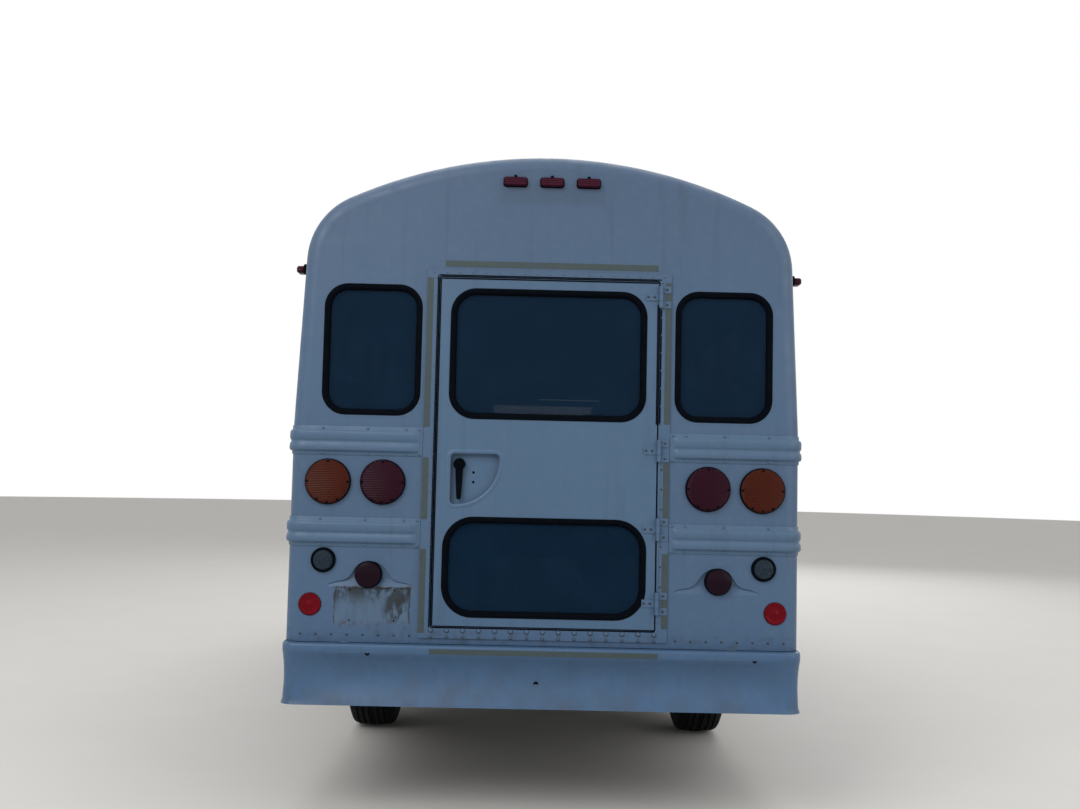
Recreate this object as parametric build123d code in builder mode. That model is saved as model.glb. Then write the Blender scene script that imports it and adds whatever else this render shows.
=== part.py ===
from build123d import *
import math
import os

os.makedirs("parts", exist_ok=True)

# Axes: X to the bus's right, Y forward, Z up. The origin is on the ground under its middle.
length = 6100
wheelbase = 3530
front_overhang = 830
cab_top = 2010
cap_rise = 670
height = cab_top + cap_rise
half_width = 1030
front_end = length / 2
rear_end = -length / 2
front_axle_y = front_end - front_overhang
rear_axle_y = front_axle_y - wheelbase

# Gaps: fit keeps still pieces apart, running keeps a shaft free, swing clears a moving panel
fit = 0.3
running = 0.05
swing = 6

# Body section: upright to the belt, leaning in above it, round at the eaves under a shallow crown
belt_z = 1560
side_lean = 2.4
eave_radius = 300
crown_radius = 1950
wall = 45
skirt = 20
skirt_bottom = 450
rear_round = 60
rear_bumper_reach = 60
bumper_return = 170
bumper_hollow = 32
bumper_sheet = 8
rear_wall_y = rear_end + rear_bumper_reach
rear_post = 115
roof_split_z = height - 450
side_front_left = front_axle_y - 1560
side_front_right = side_front_left + 900
jamb = 30

# Floor, sills and steps
floor_top = 770
floor_thickness = 40
floor_bottom = floor_top - floor_thickness
sill_depth = 50
sill_width = 60
rear_sill = rear_wall_y + 140
front_sill = side_front_left - 280
sill_ys = [rear_sill + i * (rear_axle_y - rear_sill) / 3 for i in range(3)]
sill_ys += [rear_axle_y + i * (front_sill - rear_axle_y) / 3 for i in range(4)]
frame_top = floor_bottom - sill_depth
step_inner_x = half_width - 610
step_middle_x = half_width - 330
step_zs = (400, 585)
sheet = 6

# Rear wall
bumper_top = 687
tail_panel = 533
frame_half_width = half_width - tail_panel
door_half_width = frame_half_width - 52
door_bottom = 755
door_top = height - 518
frame_top_z = door_top + 33
frame_proud = 6
tail_window_z = (belt_z + 36, door_top - 32)
tail_window_x = (frame_half_width + 15, half_width - 116)
tail_window_radius = 95
upper_glass = {"x": (50 - door_half_width, door_half_width - 50),
               "z": (belt_z + 31, door_top - 47), "radius": 100}
lower_glass = {"x": (40 - door_half_width, door_half_width - 40),
               "z": (door_bottom + 43, 1191), "radius": 120}
glass = 6
glass_inset = 14
handle_cup_x = (60 - door_half_width, 258 - door_half_width)
handle_cup_z = (1242, 1447)
handle_cup_depth = 24
handle_x, handle_z = 96 - door_half_width, 1404
handle_boss_radius = 24
handle_length = 165
hinge_pin_radius = 4.5
hinge_radius = 9
hinge_height = 90
hinge_leaf = 4
rear_hinge_zs = (865, 1160, 1475, door_top - 62)
rear_hinge_x = door_half_width + 8
rear_hinge_y = rear_wall_y - frame_proud - hinge_radius - 1

# Entry door on the right: two leaves on pivots at the jambs
entry_y = (side_front_left + 130, side_front_right - 70)
entry_z = (step_zs[0], height - 590)
entry_face_x = half_width - 26
entry_thick = 35
entry_pivot_radius = 8
entry_pivot_in = 25
entry_meet = 10

# Side windows: rear edge and width of each
window_first = rear_wall_y + 300
last_width = 480
window_pitch = (side_front_left - 26 - last_width - window_first) / 4
window_z = (belt_z + 25, roof_split_z - 65)
window_gap = 46
window_radius = 50
sash_width = 24
sash_depth = 30
sash_inset = 6
long_windows = [(window_first + i * window_pitch, window_pitch) for i in range(4)]
last_window = window_first + 4 * window_pitch
side_windows = {-1: long_windows + [(last_window, last_width)],
                1: long_windows + [(last_window, entry_y[0] - 56 - last_window)]}

# Rub rails: low and high edge of each, then the ridges' height and how far they stand proud
belt_rails = [(1431, 1547), (1065, 1182)]
low_rail = (640, 690)
rail_ridge = 26
rail_lip = 16
rail_plate = 4
rail_proud = 14

# Cab: side, front and plan outlines are laid over each other
cab_skin = 40
cab_half_width = half_width - 30
cab_belt_z = 1320
cab_tumble = 9
rocker_z = 480
nose_y = front_end - 90
nose_bottom = 650
nose_top = 990
nose_half_width = cab_half_width - 70
nose_round = 40
nose_corner = 170
cowl = (front_axle_y - 70, 1300)
header = (front_axle_y - 660, cab_top - 25)
cap_length = 620
cap_bulge = 75
cap_corner = 190
cap_ledge = 20
arch_radius = 480
glass_margin = 95
windshield_z = (1345, cab_top - 60)
hood_half_width = cab_half_width - 150
hood_front_z = 1015
hood_rear_y = front_axle_y + 16
hood_skin = 25
hood_pivot_in = 10
hood_pin_radius = 5
hood_pin_reach = 36
cab_door_thick = 70
cab_sill_z = 1400
cab_door_y = (side_front_left + 30, front_axle_y - 505)
cab_door = [(cab_door_y[0], 520), (cab_door_y[1], 520), (cab_door_y[1], cab_sill_z),
            (cab_door_y[1] - 240, cab_top - 85), (cab_door_y[0], cab_top - 65)]
cab_door_glass_z = cab_sill_z - 10
cab_door_frame = 85
cab_hinge_zs = (950, 1240)
cab_hinge_out = 10
quarter_y = front_axle_y - 595
quarter_window = [(quarter_y, cab_sill_z), (quarter_y + 335, cab_sill_z),
                  (quarter_y + 15, cab_top - 180), (quarter_y, cab_top - 180)]
grille_half_width = 430
grille_z = (700, 930)
grille_bars = 6
grille_bar = 16
headlamp_x = (grille_half_width + 70, nose_half_width - 30)
headlamp_z = (735, 905)
headlamp_depth = 40

# Cab floor and what stands on it
cab_floor_top = 600
cab_floor_thickness = 45
firewall_y = front_axle_y - 130
driver_x = -430

# Wheels, axles and frame
tyre_radius = 387
tyre_width = 245
half_track = half_width - 165
rim_radius = 203
rim_flange = 216
rim_half = 95
hub_radius = 62
spindle_radius = 30
spindle_reach = 40
drum_radius = 150
drum_x = (-45, 15)
kingpin_inboard = 100
kingpin_radius = 20
boss_radius = 38
boss_half = 36
yoke_thickness = 26
rail_x = (385, 455)
rail_depth = 160
rail_web = 8
frame_front = front_end - 200
frame_rear = rear_wall_y + 90
front_drop = 125
axle_tube = 45
diff_radius = 150
pinion_reach = 210
joint_gap = 2
spring_x = 500
spring_width = 64
spring_half = 620
spring_leaf = 30
front_spring_leaf = 24

# Lamps on the rear wall: distance from the middle, height and radius
big_amber_lamp = (half_width - 156, 1323, 92)
big_red_lamp = (half_width - 376, 1325, 91)
stop_lamp = (half_width - 330, 955, 54)
reverse_lamp = (half_width - 148, 1010, 50)
reflector = (half_width - 100, 834, 44)
lamp_proud = 22
id_lamp_xs = (-150, 0, 150)
id_lamp_z = height - 117
id_lamp = (100, 42)
cap_lamp_z = height - 190
marker_z = height - 490
plate_centre = (347 - half_width, 833.5)
# The stamped recess over each stop lamp: distance in from the body's side and height
recess_edge = ((145, 869), (201, 926), (245, 939), (286, 992), (333, 1009), (390, 986), (435, 935),
               (496, 919), (523, 886))
recess_depth = 12
recess_ramp = (905, 940)
plate_spacing = (177.8, 120.65)
plate_hole = 3.5
marker_y = rear_wall_y + 170

# Seats: the middle of each row's cushion
seat_width = 730
seat_depth = 400
seat_height = 430
seat_pad = 90
seat_back_height = 590
seat_back_pad = 80
seat_gap = 14
seat_pitch = 685
first_row = rear_wall_y + 560
seat_ends = {-1: side_front_left - 210, 1: entry_y[0] - 560}
seat_rows = {side: [first_row + i * seat_pitch
                    for i in range(1 + int((end - first_row) // seat_pitch))]
             for side, end in seat_ends.items()}
seat_tube = 24

lean = math.tan(math.radians(side_lean))
tumble = math.tan(math.radians(cab_tumble))
ledge_half = cab_half_width - 50 - (cab_top - cab_belt_z) * tumble
header_rear = header[0] - 70
hinge_bore = hinge_pin_radius + running
sides = (-1, 1)
LEFT, RIGHT = sides


def section_plane(y):
    """A plane across the bus at y, seen from the front: extruding runs to the rear."""
    return Plane(origin=(0, y, 0), x_dir=(1, 0, 0), z_dir=(0, -1, 0))


def side_plane(x):
    """A plane along the bus at x: its first direction is Y and its second is Z."""
    return Plane(origin=(x, 0, 0), x_dir=(0, 1, 0), z_dir=(1, 0, 0))


def side_x(z):
    """The body side's distance from the middle at height z, below the eaves."""
    return half_width - max(0, z - belt_z) * lean


def wall_plane(side):
    """A plane on the outer face of one leaning side: first direction Y times side."""
    middle = sum(window_z) / 2
    tilt = math.radians(side_lean)
    return Plane(origin=(side * side_x(middle), 0, middle), x_dir=(0, side, 0),
                 z_dir=(side * math.cos(tilt), 0, math.sin(tilt)))


def low_high(a, b):
    """Two values as a low and high pair."""
    return min(a, b), max(a, b)


def grow(span, by):
    """A low and high value moved apart by the same amount each."""
    return span[0] - by, span[1] + by


def around(middle, half):
    """A low and high value about a middle."""
    return middle - half, middle + half


def outward(side, low, high):
    """A low and high distance from the middle, laid to one side."""
    return low_high(side * low, side * high)


def block(x, y, z, mode=Mode.ADD):
    """A box from its low and high value along each axis."""
    with Locations(((x[0] + x[1]) / 2, (y[0] + y[1]) / 2, (z[0] + z[1]) / 2)):
        Box(x[1] - x[0], y[1] - y[0], z[1] - z[0], mode=mode)


def pane(across, up, radius):
    """A rectangle from its low and high value each way, with round corners."""
    width, tall = across[1] - across[0], up[1] - up[0]
    with Locations(((across[0] + across[1]) / 2, (up[0] + up[1]) / 2)):
        RectangleRounded(width, tall, min(radius, 0.45 * width, 0.45 * tall))


def rod(start, end, radius, mode=Mode.ADD):
    """A round bar between two points."""
    path = Vector(*end) - Vector(*start)
    with BuildSketch(Plane(origin=start, z_dir=path.normalized())) as disc:
        Circle(radius)
    extrude(disc.sketch, amount=path.length, mode=mode)


def prism(points, plane, depth, mode=Mode.ADD):
    """A polygon extruded from its plane."""
    with BuildSketch(plane) as face:
        Polygon(*points)
    extrude(face.sketch, amount=depth, mode=mode)


def plate(panes, plane, depth, mode=Mode.ADD):
    """Round-cornered rectangles, each (across, up, radius), extruded from a plane."""
    with BuildSketch(plane) as faces:
        for across, up, radius in panes:
            pane(across, up, radius)
    extrude(faces.sketch, amount=depth, mode=mode)


def wheel_opening(side, y, low, high, mode=Mode.SUBTRACT, radius=arch_radius):
    """A round opening about an axle, between two distances from the middle."""
    rod((side * low, y, tyre_radius), (side * high, y, tyre_radius), radius, mode)


def eave_point():
    """Where the leaning side would meet the crown."""
    crown_z = height - crown_radius
    start = half_width + (belt_z - crown_z) * lean
    a = 1 + lean**2
    b = -2 * start * lean
    c = start**2 - crown_radius**2
    rise = (-b + math.sqrt(b * b - 4 * a * c)) / (2 * a)
    return start - rise * lean, rise + crown_z


def body_form(rear, front, bottom, inset=0):
    """The body's section, taken in by inset, between two stations."""
    x, z = eave_point()
    with BuildPart() as form:
        with BuildSketch(section_plane(front)):
            with BuildLine():
                Polyline((-x, z), (-half_width, belt_z), (-half_width, bottom),
                         (half_width, bottom), (half_width, belt_z), (x, z))
                ThreePointArc((x, z), (0, height), (-x, z))
            face = make_face()
            fillet(face.vertices().filter_by(lambda v: v.Y > belt_z + eave_radius), eave_radius)
            if inset:
                offset(amount=-inset, kind=Kind.INTERSECTION, mode=Mode.REPLACE)
        extrude(amount=front - rear)
    return form.part


def cap_form(inset):
    """All that lies behind the front cap's bowed slope and its round corners, taken in by inset."""
    foot = Vector(header[0], cab_top)
    peak = Vector(header[0] - cap_length, height + 2)
    half_run = (foot - peak).length / 2
    bow = (half_run**2 + cap_bulge**2) / (2 * cap_bulge)
    forward = Vector(peak.Y - foot.Y, foot.X - peak.X).normalized()
    centre = (foot + peak) / 2 + forward * (cap_bulge - bow)
    across, high = half_width - inset, height + 300
    with BuildPart() as plan_form:
        with BuildSketch(Plane.XY.offset(cab_top)) as plan_face:
            Polygon((-across, -length), (across, -length), (across, foot.X - inset),
                    (-across, foot.X - inset))
            fillet(plan_face.vertices().filter_by(lambda v: v.Y > 0), cap_corner - inset)
        extrude(amount=height)
        block((-2 * half_width, 2 * half_width), (-length, foot.X), (-500, cab_top))
    with BuildPart() as form:
        with BuildSketch(side_plane(-2 * half_width)):
            with BuildLine():
                points = [centre + (mark - centre) * (1 - inset / bow)
                          for mark in (foot, (foot + peak) / 2 + forward * cap_bulge, peak)]
                ThreePointArc(*points)
                Polyline(points[2], (points[2].X, high), (-length, high), (-length, -500),
                         (points[0].X, -500), points[0])
            make_face()
        extrude(amount=4 * half_width)
        add(plan_form.part, mode=Mode.INTERSECT)
    return form.part


def cab_form(inset=0, drop=0, rear=0):
    """The cab's form, taken in by inset, its underside lowered by drop and its back by rear."""
    low = rocker_z - drop
    nose_low = nose_bottom - drop
    back = side_front_left - rear
    with BuildPart() as form:
        with BuildSketch(side_plane(-2 * half_width)) as side_face:
            with BuildLine():
                Polyline((back, low), (front_axle_y, low), (front_axle_y, nose_low),
                         (nose_y - 12, nose_low), (nose_y, nose_low + 60), (nose_y, nose_top),
                         (nose_y - 40, nose_top + 85), cowl, header,
                         (header[0] - 50, cab_top), (back, cab_top), close=True)
            make_face()
            if inset:
                offset(amount=-inset, kind=Kind.INTERSECTION, mode=Mode.REPLACE)
            lip = (nose_bottom + nose_top) / 2
            fillet(side_face.vertices().filter_by(lambda v: v.X > hood_rear_y and v.Y > lip),
                   radius=max(nose_round - inset, 5))
        extrude(amount=4 * half_width)
        with BuildSketch(section_plane(front_end + 100)):
            top_x = cab_half_width - (cab_top + 1 - cab_belt_z) * tumble
            Polygon((-cab_half_width, low - 100), (cab_half_width, low - 100),
                    (cab_half_width, cab_belt_z), (top_x, cab_top + 1),
                    (-top_x, cab_top + 1), (-cab_half_width, cab_belt_z))
            if inset:
                offset(amount=-inset, kind=Kind.INTERSECTION, mode=Mode.REPLACE)
        extrude(amount=2 * length, mode=Mode.INTERSECT)
        with BuildSketch(Plane.XY) as plan_face:
            with BuildLine():
                Polyline((-nose_half_width, nose_y - 45), (-cab_half_width, front_axle_y),
                         (-cab_half_width, -length), (cab_half_width, -length),
                         (cab_half_width, front_axle_y), (nose_half_width, nose_y - 45))
                ThreePointArc((nose_half_width, nose_y - 45), (0, nose_y),
                              (-nose_half_width, nose_y - 45))
            make_face()
            if inset:
                offset(amount=-inset, kind=Kind.INTERSECTION, mode=Mode.REPLACE)
            fillet(plan_face.vertices().filter_by(lambda v: v.Y > hood_rear_y),
                   radius=nose_corner - inset)
        extrude(amount=height, mode=Mode.INTERSECT)
    return form.part


def save(built, name):
    """Labels a finished piece and writes it to its own file."""
    built.part.label = name
    export_step(built.part, f"parts/{name}.step")


def add_barrel(x, y, z, half, radius=hinge_radius, mode=Mode.ADD):
    """An upright round bar about a point, half its height each way."""
    rod((x, y, z - half), (x, y, z + half), radius, mode)


def fixed_knuckles(x, y, zs):
    """The upper and lower barrels of hinges at zs, with the pins that join them."""
    third = hinge_height / 6
    for z in zs:
        for end in sides:
            add_barrel(x, y, z + end * 2 * third, third - 1)
        add_barrel(x, y, z, hinge_height / 2, hinge_pin_radius)


def turning_knuckles(x, y, zs):
    """The middle barrel of each hinge, bored for its pin."""
    for z in zs:
        add_barrel(x, y, z, hinge_height / 6)
        add_barrel(x, y, z, hinge_height, hinge_bore, Mode.SUBTRACT)


# Body walls: one hollow form, split where the real panels meet
outer_body = body_form(rear_wall_y, side_front_right, skirt_bottom)
inner_body = body_form(rear_wall_y + wall, side_front_right + 10, skirt_bottom - 2 * wall, wall)
cap_outside = cap_form(0)
cap_inside = cap_form(wall)
cab_void = cab_form(cab_skin, 300, length)

with BuildPart() as body_shell:
    add(outer_body)
    rear_edges = body_shell.faces().sort_by(Axis.Y)[0].edges()
    fillet(rear_edges.filter_by(lambda e: e.center().Z > skirt_bottom + 1), rear_round)
    add(inner_body, mode=Mode.SUBTRACT)
    block((skirt - half_width, half_width - skirt), (rear_wall_y + wall, side_front_right + 10),
          (0, floor_bottom), Mode.SUBTRACT)
    for side in sides:
        wheel_opening(side, rear_axle_y, half_width - wall - 50, half_width + 40)


def side_post(side, front):
    """The post that closes a side wall's front end against the cab."""
    with BuildPart() as post:
        add(body_form(front - jamb, front, rocker_z))
        add(cab_void, mode=Mode.SUBTRACT)
        block(outward(side, ledge_half - 10, half_width), (front - jamb, front),
              (0, cab_top + cap_ledge), Mode.INTERSECT)
    return post.part


def build_side_wall(side, front):
    """One side of the body with its window openings."""
    post = side_post(side, front)
    with BuildPart() as part:
        add(body_shell.part)
        block(outward(side, 0, half_width + 100), (rear_wall_y + rear_post, front),
              (0, roof_split_z), Mode.INTERSECT)
        add(post)
        add(cap_outside, mode=Mode.INTERSECT)
        panes = []
        middle = sum(window_z) / 2
        for rear, width in side_windows[side]:
            ends = (rear + window_gap / 2, rear + width - window_gap / 2)
            panes.append((low_high(side * ends[0], side * ends[1]),
                          (window_z[0] - middle, window_z[1] - middle), window_radius))
        plate(panes, wall_plane(side).offset(-2 * wall), 3 * wall, Mode.SUBTRACT)
        if side == RIGHT:
            block((step_inner_x, half_width + 100), entry_y, (0, entry_z[1]), Mode.SUBTRACT)
            for pivot_y in (entry_y[0] + entry_pivot_in, entry_y[1] - entry_pivot_in):
                add_barrel(entry_face_x - entry_thick / 2, pivot_y, entry_z[1], 25,
                           entry_pivot_radius)
    return part


save(build_side_wall(LEFT, side_front_left), "side_wall_left")
save(build_side_wall(RIGHT, side_front_right), "side_wall_right")

with BuildPart() as roof:
    add(body_shell.part)
    block((-half_width, half_width), (rear_wall_y + rear_post, side_front_left),
          (roof_split_z, height + 100), Mode.INTERSECT)
save(roof, "roof")

# Front cap: a bowed shell above the cab, with a ledge that meets the cab's top
with BuildPart() as cap_void:
    add(inner_body)
    add(cap_inside, mode=Mode.INTERSECT)

with BuildPart() as cap_ledge_plate:
    add(outer_body)
    block((-half_width, half_width), (0, front_end), (cab_top, cab_top + cap_ledge),
          Mode.INTERSECT)
    block((-ledge_half, ledge_half), (0, header_rear), (0, height), Mode.SUBTRACT)

with BuildPart() as right_wall_zone:
    add(body_shell.part)
    block((0, half_width + 100), (0, side_front_right), (0, roof_split_z), Mode.INTERSECT)

with BuildPart() as front_cap:
    add(outer_body)
    add(cap_void.part, mode=Mode.SUBTRACT)
    add(cap_ledge_plate.part)
    add(cap_outside, mode=Mode.INTERSECT)
    block((-half_width, half_width), (side_front_left, front_end), (cab_top, height + 100),
          Mode.INTERSECT)
    add(right_wall_zone.part, mode=Mode.SUBTRACT)
    block((ledge_half - 10, half_width), (0, side_front_right), (0, cab_top + cap_ledge),
          Mode.SUBTRACT)
save(front_cap, "front_cap")

rear_frame = grow((door_bottom, door_top), swing)
with BuildPart() as rear_wall:
    add(body_shell.part)
    block((-half_width, half_width), (rear_wall_y - 1, rear_wall_y + rear_post),
          (bumper_top, height + 100), Mode.INTERSECT)
    plate([((-frame_half_width, frame_half_width), (door_bottom - 45, frame_top_z), 4)],
          section_plane(rear_wall_y), frame_proud)
    openings = [((-door_half_width - swing, door_half_width + swing), rear_frame, 12)]
    openings += [(outward(side, *tail_window_x), tail_window_z, tail_window_radius)
                 for side in sides]
    plate(openings, section_plane(rear_wall_y + 2 * wall), 3 * wall, Mode.SUBTRACT)
    for side in sides:
        with BuildSketch(section_plane(rear_wall_y + 50)) as stamping:
            with BuildLine():
                marks = [(side * (half_width - inward), z) for inward, z in recess_edge]
                Spline(*marks)
                Polyline(marks[-1], (marks[-1][0], recess_ramp[0] - 50),
                         (marks[0][0], recess_ramp[0] - 50), marks[0])
            make_face()
        stamped = extrude(stamping.sketch, amount=100, mode=Mode.PRIVATE)
        with BuildSketch(side_plane(-2 * half_width)) as ramp:
            Polygon((rear_wall_y - 50, recess_ramp[0]), (rear_wall_y, recess_ramp[0]),
                    (rear_wall_y + recess_depth, recess_ramp[1]),
                    (rear_wall_y + recess_depth, 1100), (rear_wall_y - 50, 1100))
        ramped = extrude(ramp.sketch, amount=4 * half_width, mode=Mode.PRIVATE)
        add(stamped & ramped, mode=Mode.SUBTRACT)
    with Locations(section_plane(rear_wall_y)):
        with Locations(plate_centre):
            with GridLocations(*plate_spacing, 2, 2):
                Hole(plate_hole, 2 * wall)
    fixed_knuckles(rear_hinge_x, rear_hinge_y, rear_hinge_zs)
    for z in rear_hinge_zs:
        for end in sides:
            block((rear_hinge_x + 4, rear_hinge_x + 42),
                  (rear_wall_y - frame_proud - hinge_leaf, rear_wall_y - frame_proud),
                  low_high(z + end * (hinge_height / 6 + 1), z + end * hinge_height / 2))
save(rear_wall, "rear_wall")

# Emergency door
door_panes = [(window["x"], window["z"], window["radius"]) for window in (upper_glass, lower_glass)]
with BuildPart() as emergency_door:
    plate([((-door_half_width, door_half_width), (door_bottom, door_top), 8)],
          section_plane(rear_wall_y + wall), wall + frame_proud)
    plate(door_panes, section_plane(rear_wall_y + 2 * wall), 3 * wall, Mode.SUBTRACT)
    cup_floor_y = rear_wall_y - frame_proud + handle_cup_depth
    with BuildSketch(section_plane(cup_floor_y)) as cup:
        with BuildLine():
            left, right = handle_cup_x
            low, high = handle_cup_z
            bend = right - left - 20
            Polyline((right, low + bend), (right, high), (left, high), (left, low),
                     (left + 20, low))
            CenterArc((left + 20, low + bend), bend, -90, 90)
        make_face()
        square = [point for point in cup.vertices()
                  if (point.Z > high - 1) or (point.Z < low + 1 and point.X < left + 1)]
        fillet(square, 18)
    extrude(cup.sketch, amount=2 * handle_cup_depth, mode=Mode.SUBTRACT)
    for z in rear_hinge_zs:
        block((rear_hinge_x - 60, rear_hinge_x - 5),
              (rear_wall_y - frame_proud - hinge_leaf, rear_wall_y - frame_proud),
              around(z, hinge_height / 6))
    turning_knuckles(rear_hinge_x, rear_hinge_y, rear_hinge_zs)
save(emergency_door, "emergency_door")


def glazing(panes, y):
    """Glass panes of the rear wall, standing in their openings."""
    loose = [(grow(across, -fit), grow(up, -fit), radius - fit) for across, up, radius in panes]
    plate(loose, section_plane(y + glass_inset + glass), glass)


with BuildPart() as emergency_glass:
    glazing(door_panes, rear_wall_y - frame_proud)
save(emergency_glass, "emergency_glass")

with BuildPart() as door_handle:
    rod((handle_x, cup_floor_y, handle_z), (handle_x, cup_floor_y - 20, handle_z),
        handle_boss_radius)
    handle_end = handle_z - handle_length + handle_boss_radius
    prism([(handle_x - 14, handle_z), (handle_x + 14, handle_z), (handle_x + 7, handle_end),
           (handle_x - 7, handle_end)], section_plane(cup_floor_y - 8), 10)
save(door_handle, "door_handle")

# Side sashes and all fixed panes
sash_frames = []
for side in sides:
    for rear, width in side_windows[side]:
        ends = (rear + window_gap / 2 + fit, rear + width - window_gap / 2 - fit)
        half_up = (window_z[1] - window_z[0]) / 2 - fit
        sash_frames.append((side, low_high(side * ends[0], side * ends[1]), half_up))

with BuildPart() as window_sashes:
    for side, across, half_up in sash_frames:
        face = wall_plane(side).offset(-sash_inset - sash_depth)
        plate([(across, (-half_up, half_up), window_radius - fit)], face, sash_depth)
        inner = grow(across, -sash_width)
        for low, high in ((sash_width - half_up, -sash_width / 2),
                          (sash_width / 2, half_up - sash_width)):
            plate([(inner, (low, high), window_radius - sash_width)], face, sash_depth,
                  Mode.SUBTRACT)
save(window_sashes, "window_sashes")

with BuildPart() as window_glass:
    for side, across, half_up in sash_frames:
        inner = grow(across, -sash_width - fit)
        for low, high, depth in ((sash_width - half_up, -sash_width / 2, 12),
                                 (sash_width / 2, half_up - sash_width, 22)):
            plate([(inner, (low + fit, high - fit), window_radius - sash_width - fit)],
                  wall_plane(side).offset(-sash_inset - depth), glass)
    glazing([(outward(side, *tail_window_x), tail_window_z, tail_window_radius)
             for side in sides], rear_wall_y)
save(window_glass, "window_glass")

# Rub rails round the tail and along both sides: low edge, high edge, how far it stands proud
strips = [(*low_rail, rail_proud)]
for low, high in belt_rails:
    strips += [(low, high, rail_plate),
               (low + rail_lip, low + rail_lip + rail_ridge, rail_proud),
               (high - rail_lip - rail_ridge, high - rail_lip, rail_proud)]

with BuildPart() as rub_rails:
    rail_front = entry_y[0] - swing
    for low, high, proud in strips:
        outer = half_width + proud
        with BuildSketch(Plane.XY.offset(low)):
            with BuildLine():
                FilletPolyline((-outer, side_front_left), (-outer, rear_wall_y - proud),
                               (outer, rear_wall_y - proud), (outer, rail_front),
                               radius=rear_round + proud)
                Line((outer, rail_front), (half_width, rail_front))
                FilletPolyline((half_width, rail_front), (half_width, rear_wall_y),
                               (-half_width, rear_wall_y), (-half_width, side_front_left),
                               radius=rear_round)
                Line((-half_width, side_front_left), (-outer, side_front_left))
            make_face()
        extrude(amount=high - low)
    block((-frame_half_width, frame_half_width), (rear_wall_y - 50, rear_wall_y + 20), (0, height),
          Mode.SUBTRACT)
    block((-2 * half_width, 2 * half_width), (rear_end, rear_end + bumper_return + 10),
          (0, bumper_top + 10), Mode.SUBTRACT)
    for side in sides:
        wheel_opening(side, rear_axle_y, half_width - 20, half_width + 40)
save(rub_rails, "rub_rails")

# Floor with its sills, then the wheel houses and the entry steps that hang in it
house_inner = half_track - tyre_width / 2 - 45
edge = half_width - wall
with BuildPart() as wheel_houses:
    for side in sides:
        wheel_opening(side, rear_axle_y, house_inner - sheet, edge, Mode.ADD, arch_radius + sheet)
        block(outward(side, house_inner - sheet - 1, edge + 1),
              around(rear_axle_y, arch_radius + sill_width), (-arch_radius, frame_top),
              Mode.SUBTRACT)
        wheel_opening(side, rear_axle_y, house_inner, edge + 1)
save(wheel_houses, "wheel_houses")

with BuildPart() as floor:
    cab_edge = cab_half_width - cab_skin
    block((-edge, edge), (rear_wall_y + wall, side_front_left - jamb), (floor_bottom, floor_top))
    block((-cab_edge, edge), (side_front_left - jamb, side_front_left), (floor_bottom, floor_top))
    block((step_inner_x - sheet, edge), (side_front_left, entry_y[0]), (floor_bottom, floor_top))
    for y in sill_ys:
        block((skirt - edge, edge - skirt), around(y, sill_width / 2), (frame_top, floor_bottom))
    for side in sides:
        wheel_opening(side, rear_axle_y, house_inner - sheet, edge + 1, radius=arch_radius + sheet)
    block((-cab_edge, step_inner_x), (side_front_left, side_front_left + sheet),
          (cab_floor_top, floor_top))
save(floor, "floor")

with BuildPart() as entry_steps:
    outer_step = entry_face_x - 1
    profile = [(step_inner_x, floor_top), (step_inner_x, step_zs[1]),
               (step_middle_x, step_zs[1]), (step_middle_x, step_zs[0]),
               (outer_step, step_zs[0]), (outer_step, step_zs[0] - sheet),
               (step_middle_x - sheet, step_zs[0] - sheet),
               (step_middle_x - sheet, step_zs[1] - sheet),
               (step_inner_x - sheet, step_zs[1] - sheet), (step_inner_x - sheet, floor_top)]
    prism(profile, section_plane(entry_y[1]), entry_y[1] - entry_y[0])
    cheek_edge = half_width - skirt - wall
    cheek = profile[-1:] + profile[-2:-5:-1] + [(cheek_edge, step_zs[0] - sheet),
                                                (cheek_edge, floor_top)]
    for y in (entry_y[0], entry_y[1] + sheet):
        prism(cheek, section_plane(y), sheet)
    for pivot_y in (entry_y[0] + entry_pivot_in, entry_y[1] - entry_pivot_in):
        add_barrel(entry_face_x - entry_thick / 2, pivot_y, step_zs[0] + 10, 15,
                   entry_pivot_radius)
    add(floor.part, mode=Mode.SUBTRACT)
save(entry_steps, "entry_steps")

# Entry door leaves, each turning on a pivot in its round outer edge
entry_middle = sum(entry_y) / 2
entry_x = entry_face_x - entry_thick / 2


def entry_window(jamb_side):
    """The two panes of one leaf: along Y, along Z, corner radius."""
    low = entry_y[0] + swing + entry_thick + 25
    high = entry_middle - entry_meet / 2 - 45
    ends = (low, high) if jamb_side == LEFT else (2 * entry_middle - high, 2 * entry_middle - low)
    return [(ends, (step_zs[0] + 110, 1080), 40), (ends, (1180, entry_z[1] - 90), 40)]


def build_leaf(jamb_side):
    """One leaf, with its jamb at the rear (-1) or the front (1)."""
    pivot_y = entry_middle + jamb_side * (entry_middle - entry_y[0] - entry_pivot_in)
    edge_y = entry_middle + jamb_side * entry_meet / 2
    with BuildPart() as leaf:
        block(around(entry_x, entry_thick / 2), low_high(pivot_y, edge_y), grow(entry_z, -swing))
        half = (entry_z[1] - entry_z[0]) / 2 - swing
        add_barrel(entry_x, pivot_y, sum(entry_z) / 2, half, entry_thick / 2)
        plate(entry_window(jamb_side), side_plane(entry_face_x - 2 * entry_thick),
              3 * entry_thick, Mode.SUBTRACT)
        for z in entry_z:
            add_barrel(entry_x, pivot_y, z, 27, entry_pivot_radius + running, Mode.SUBTRACT)
    return leaf


def build_leaf_glass(jamb_side):
    """The panes of one leaf."""
    with BuildPart() as panes:
        loose = [(grow(a, -fit), grow(b, -fit), r - fit) for a, b, r in entry_window(jamb_side)]
        plate(loose, side_plane(entry_x - glass / 2), glass)
    return panes


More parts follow.
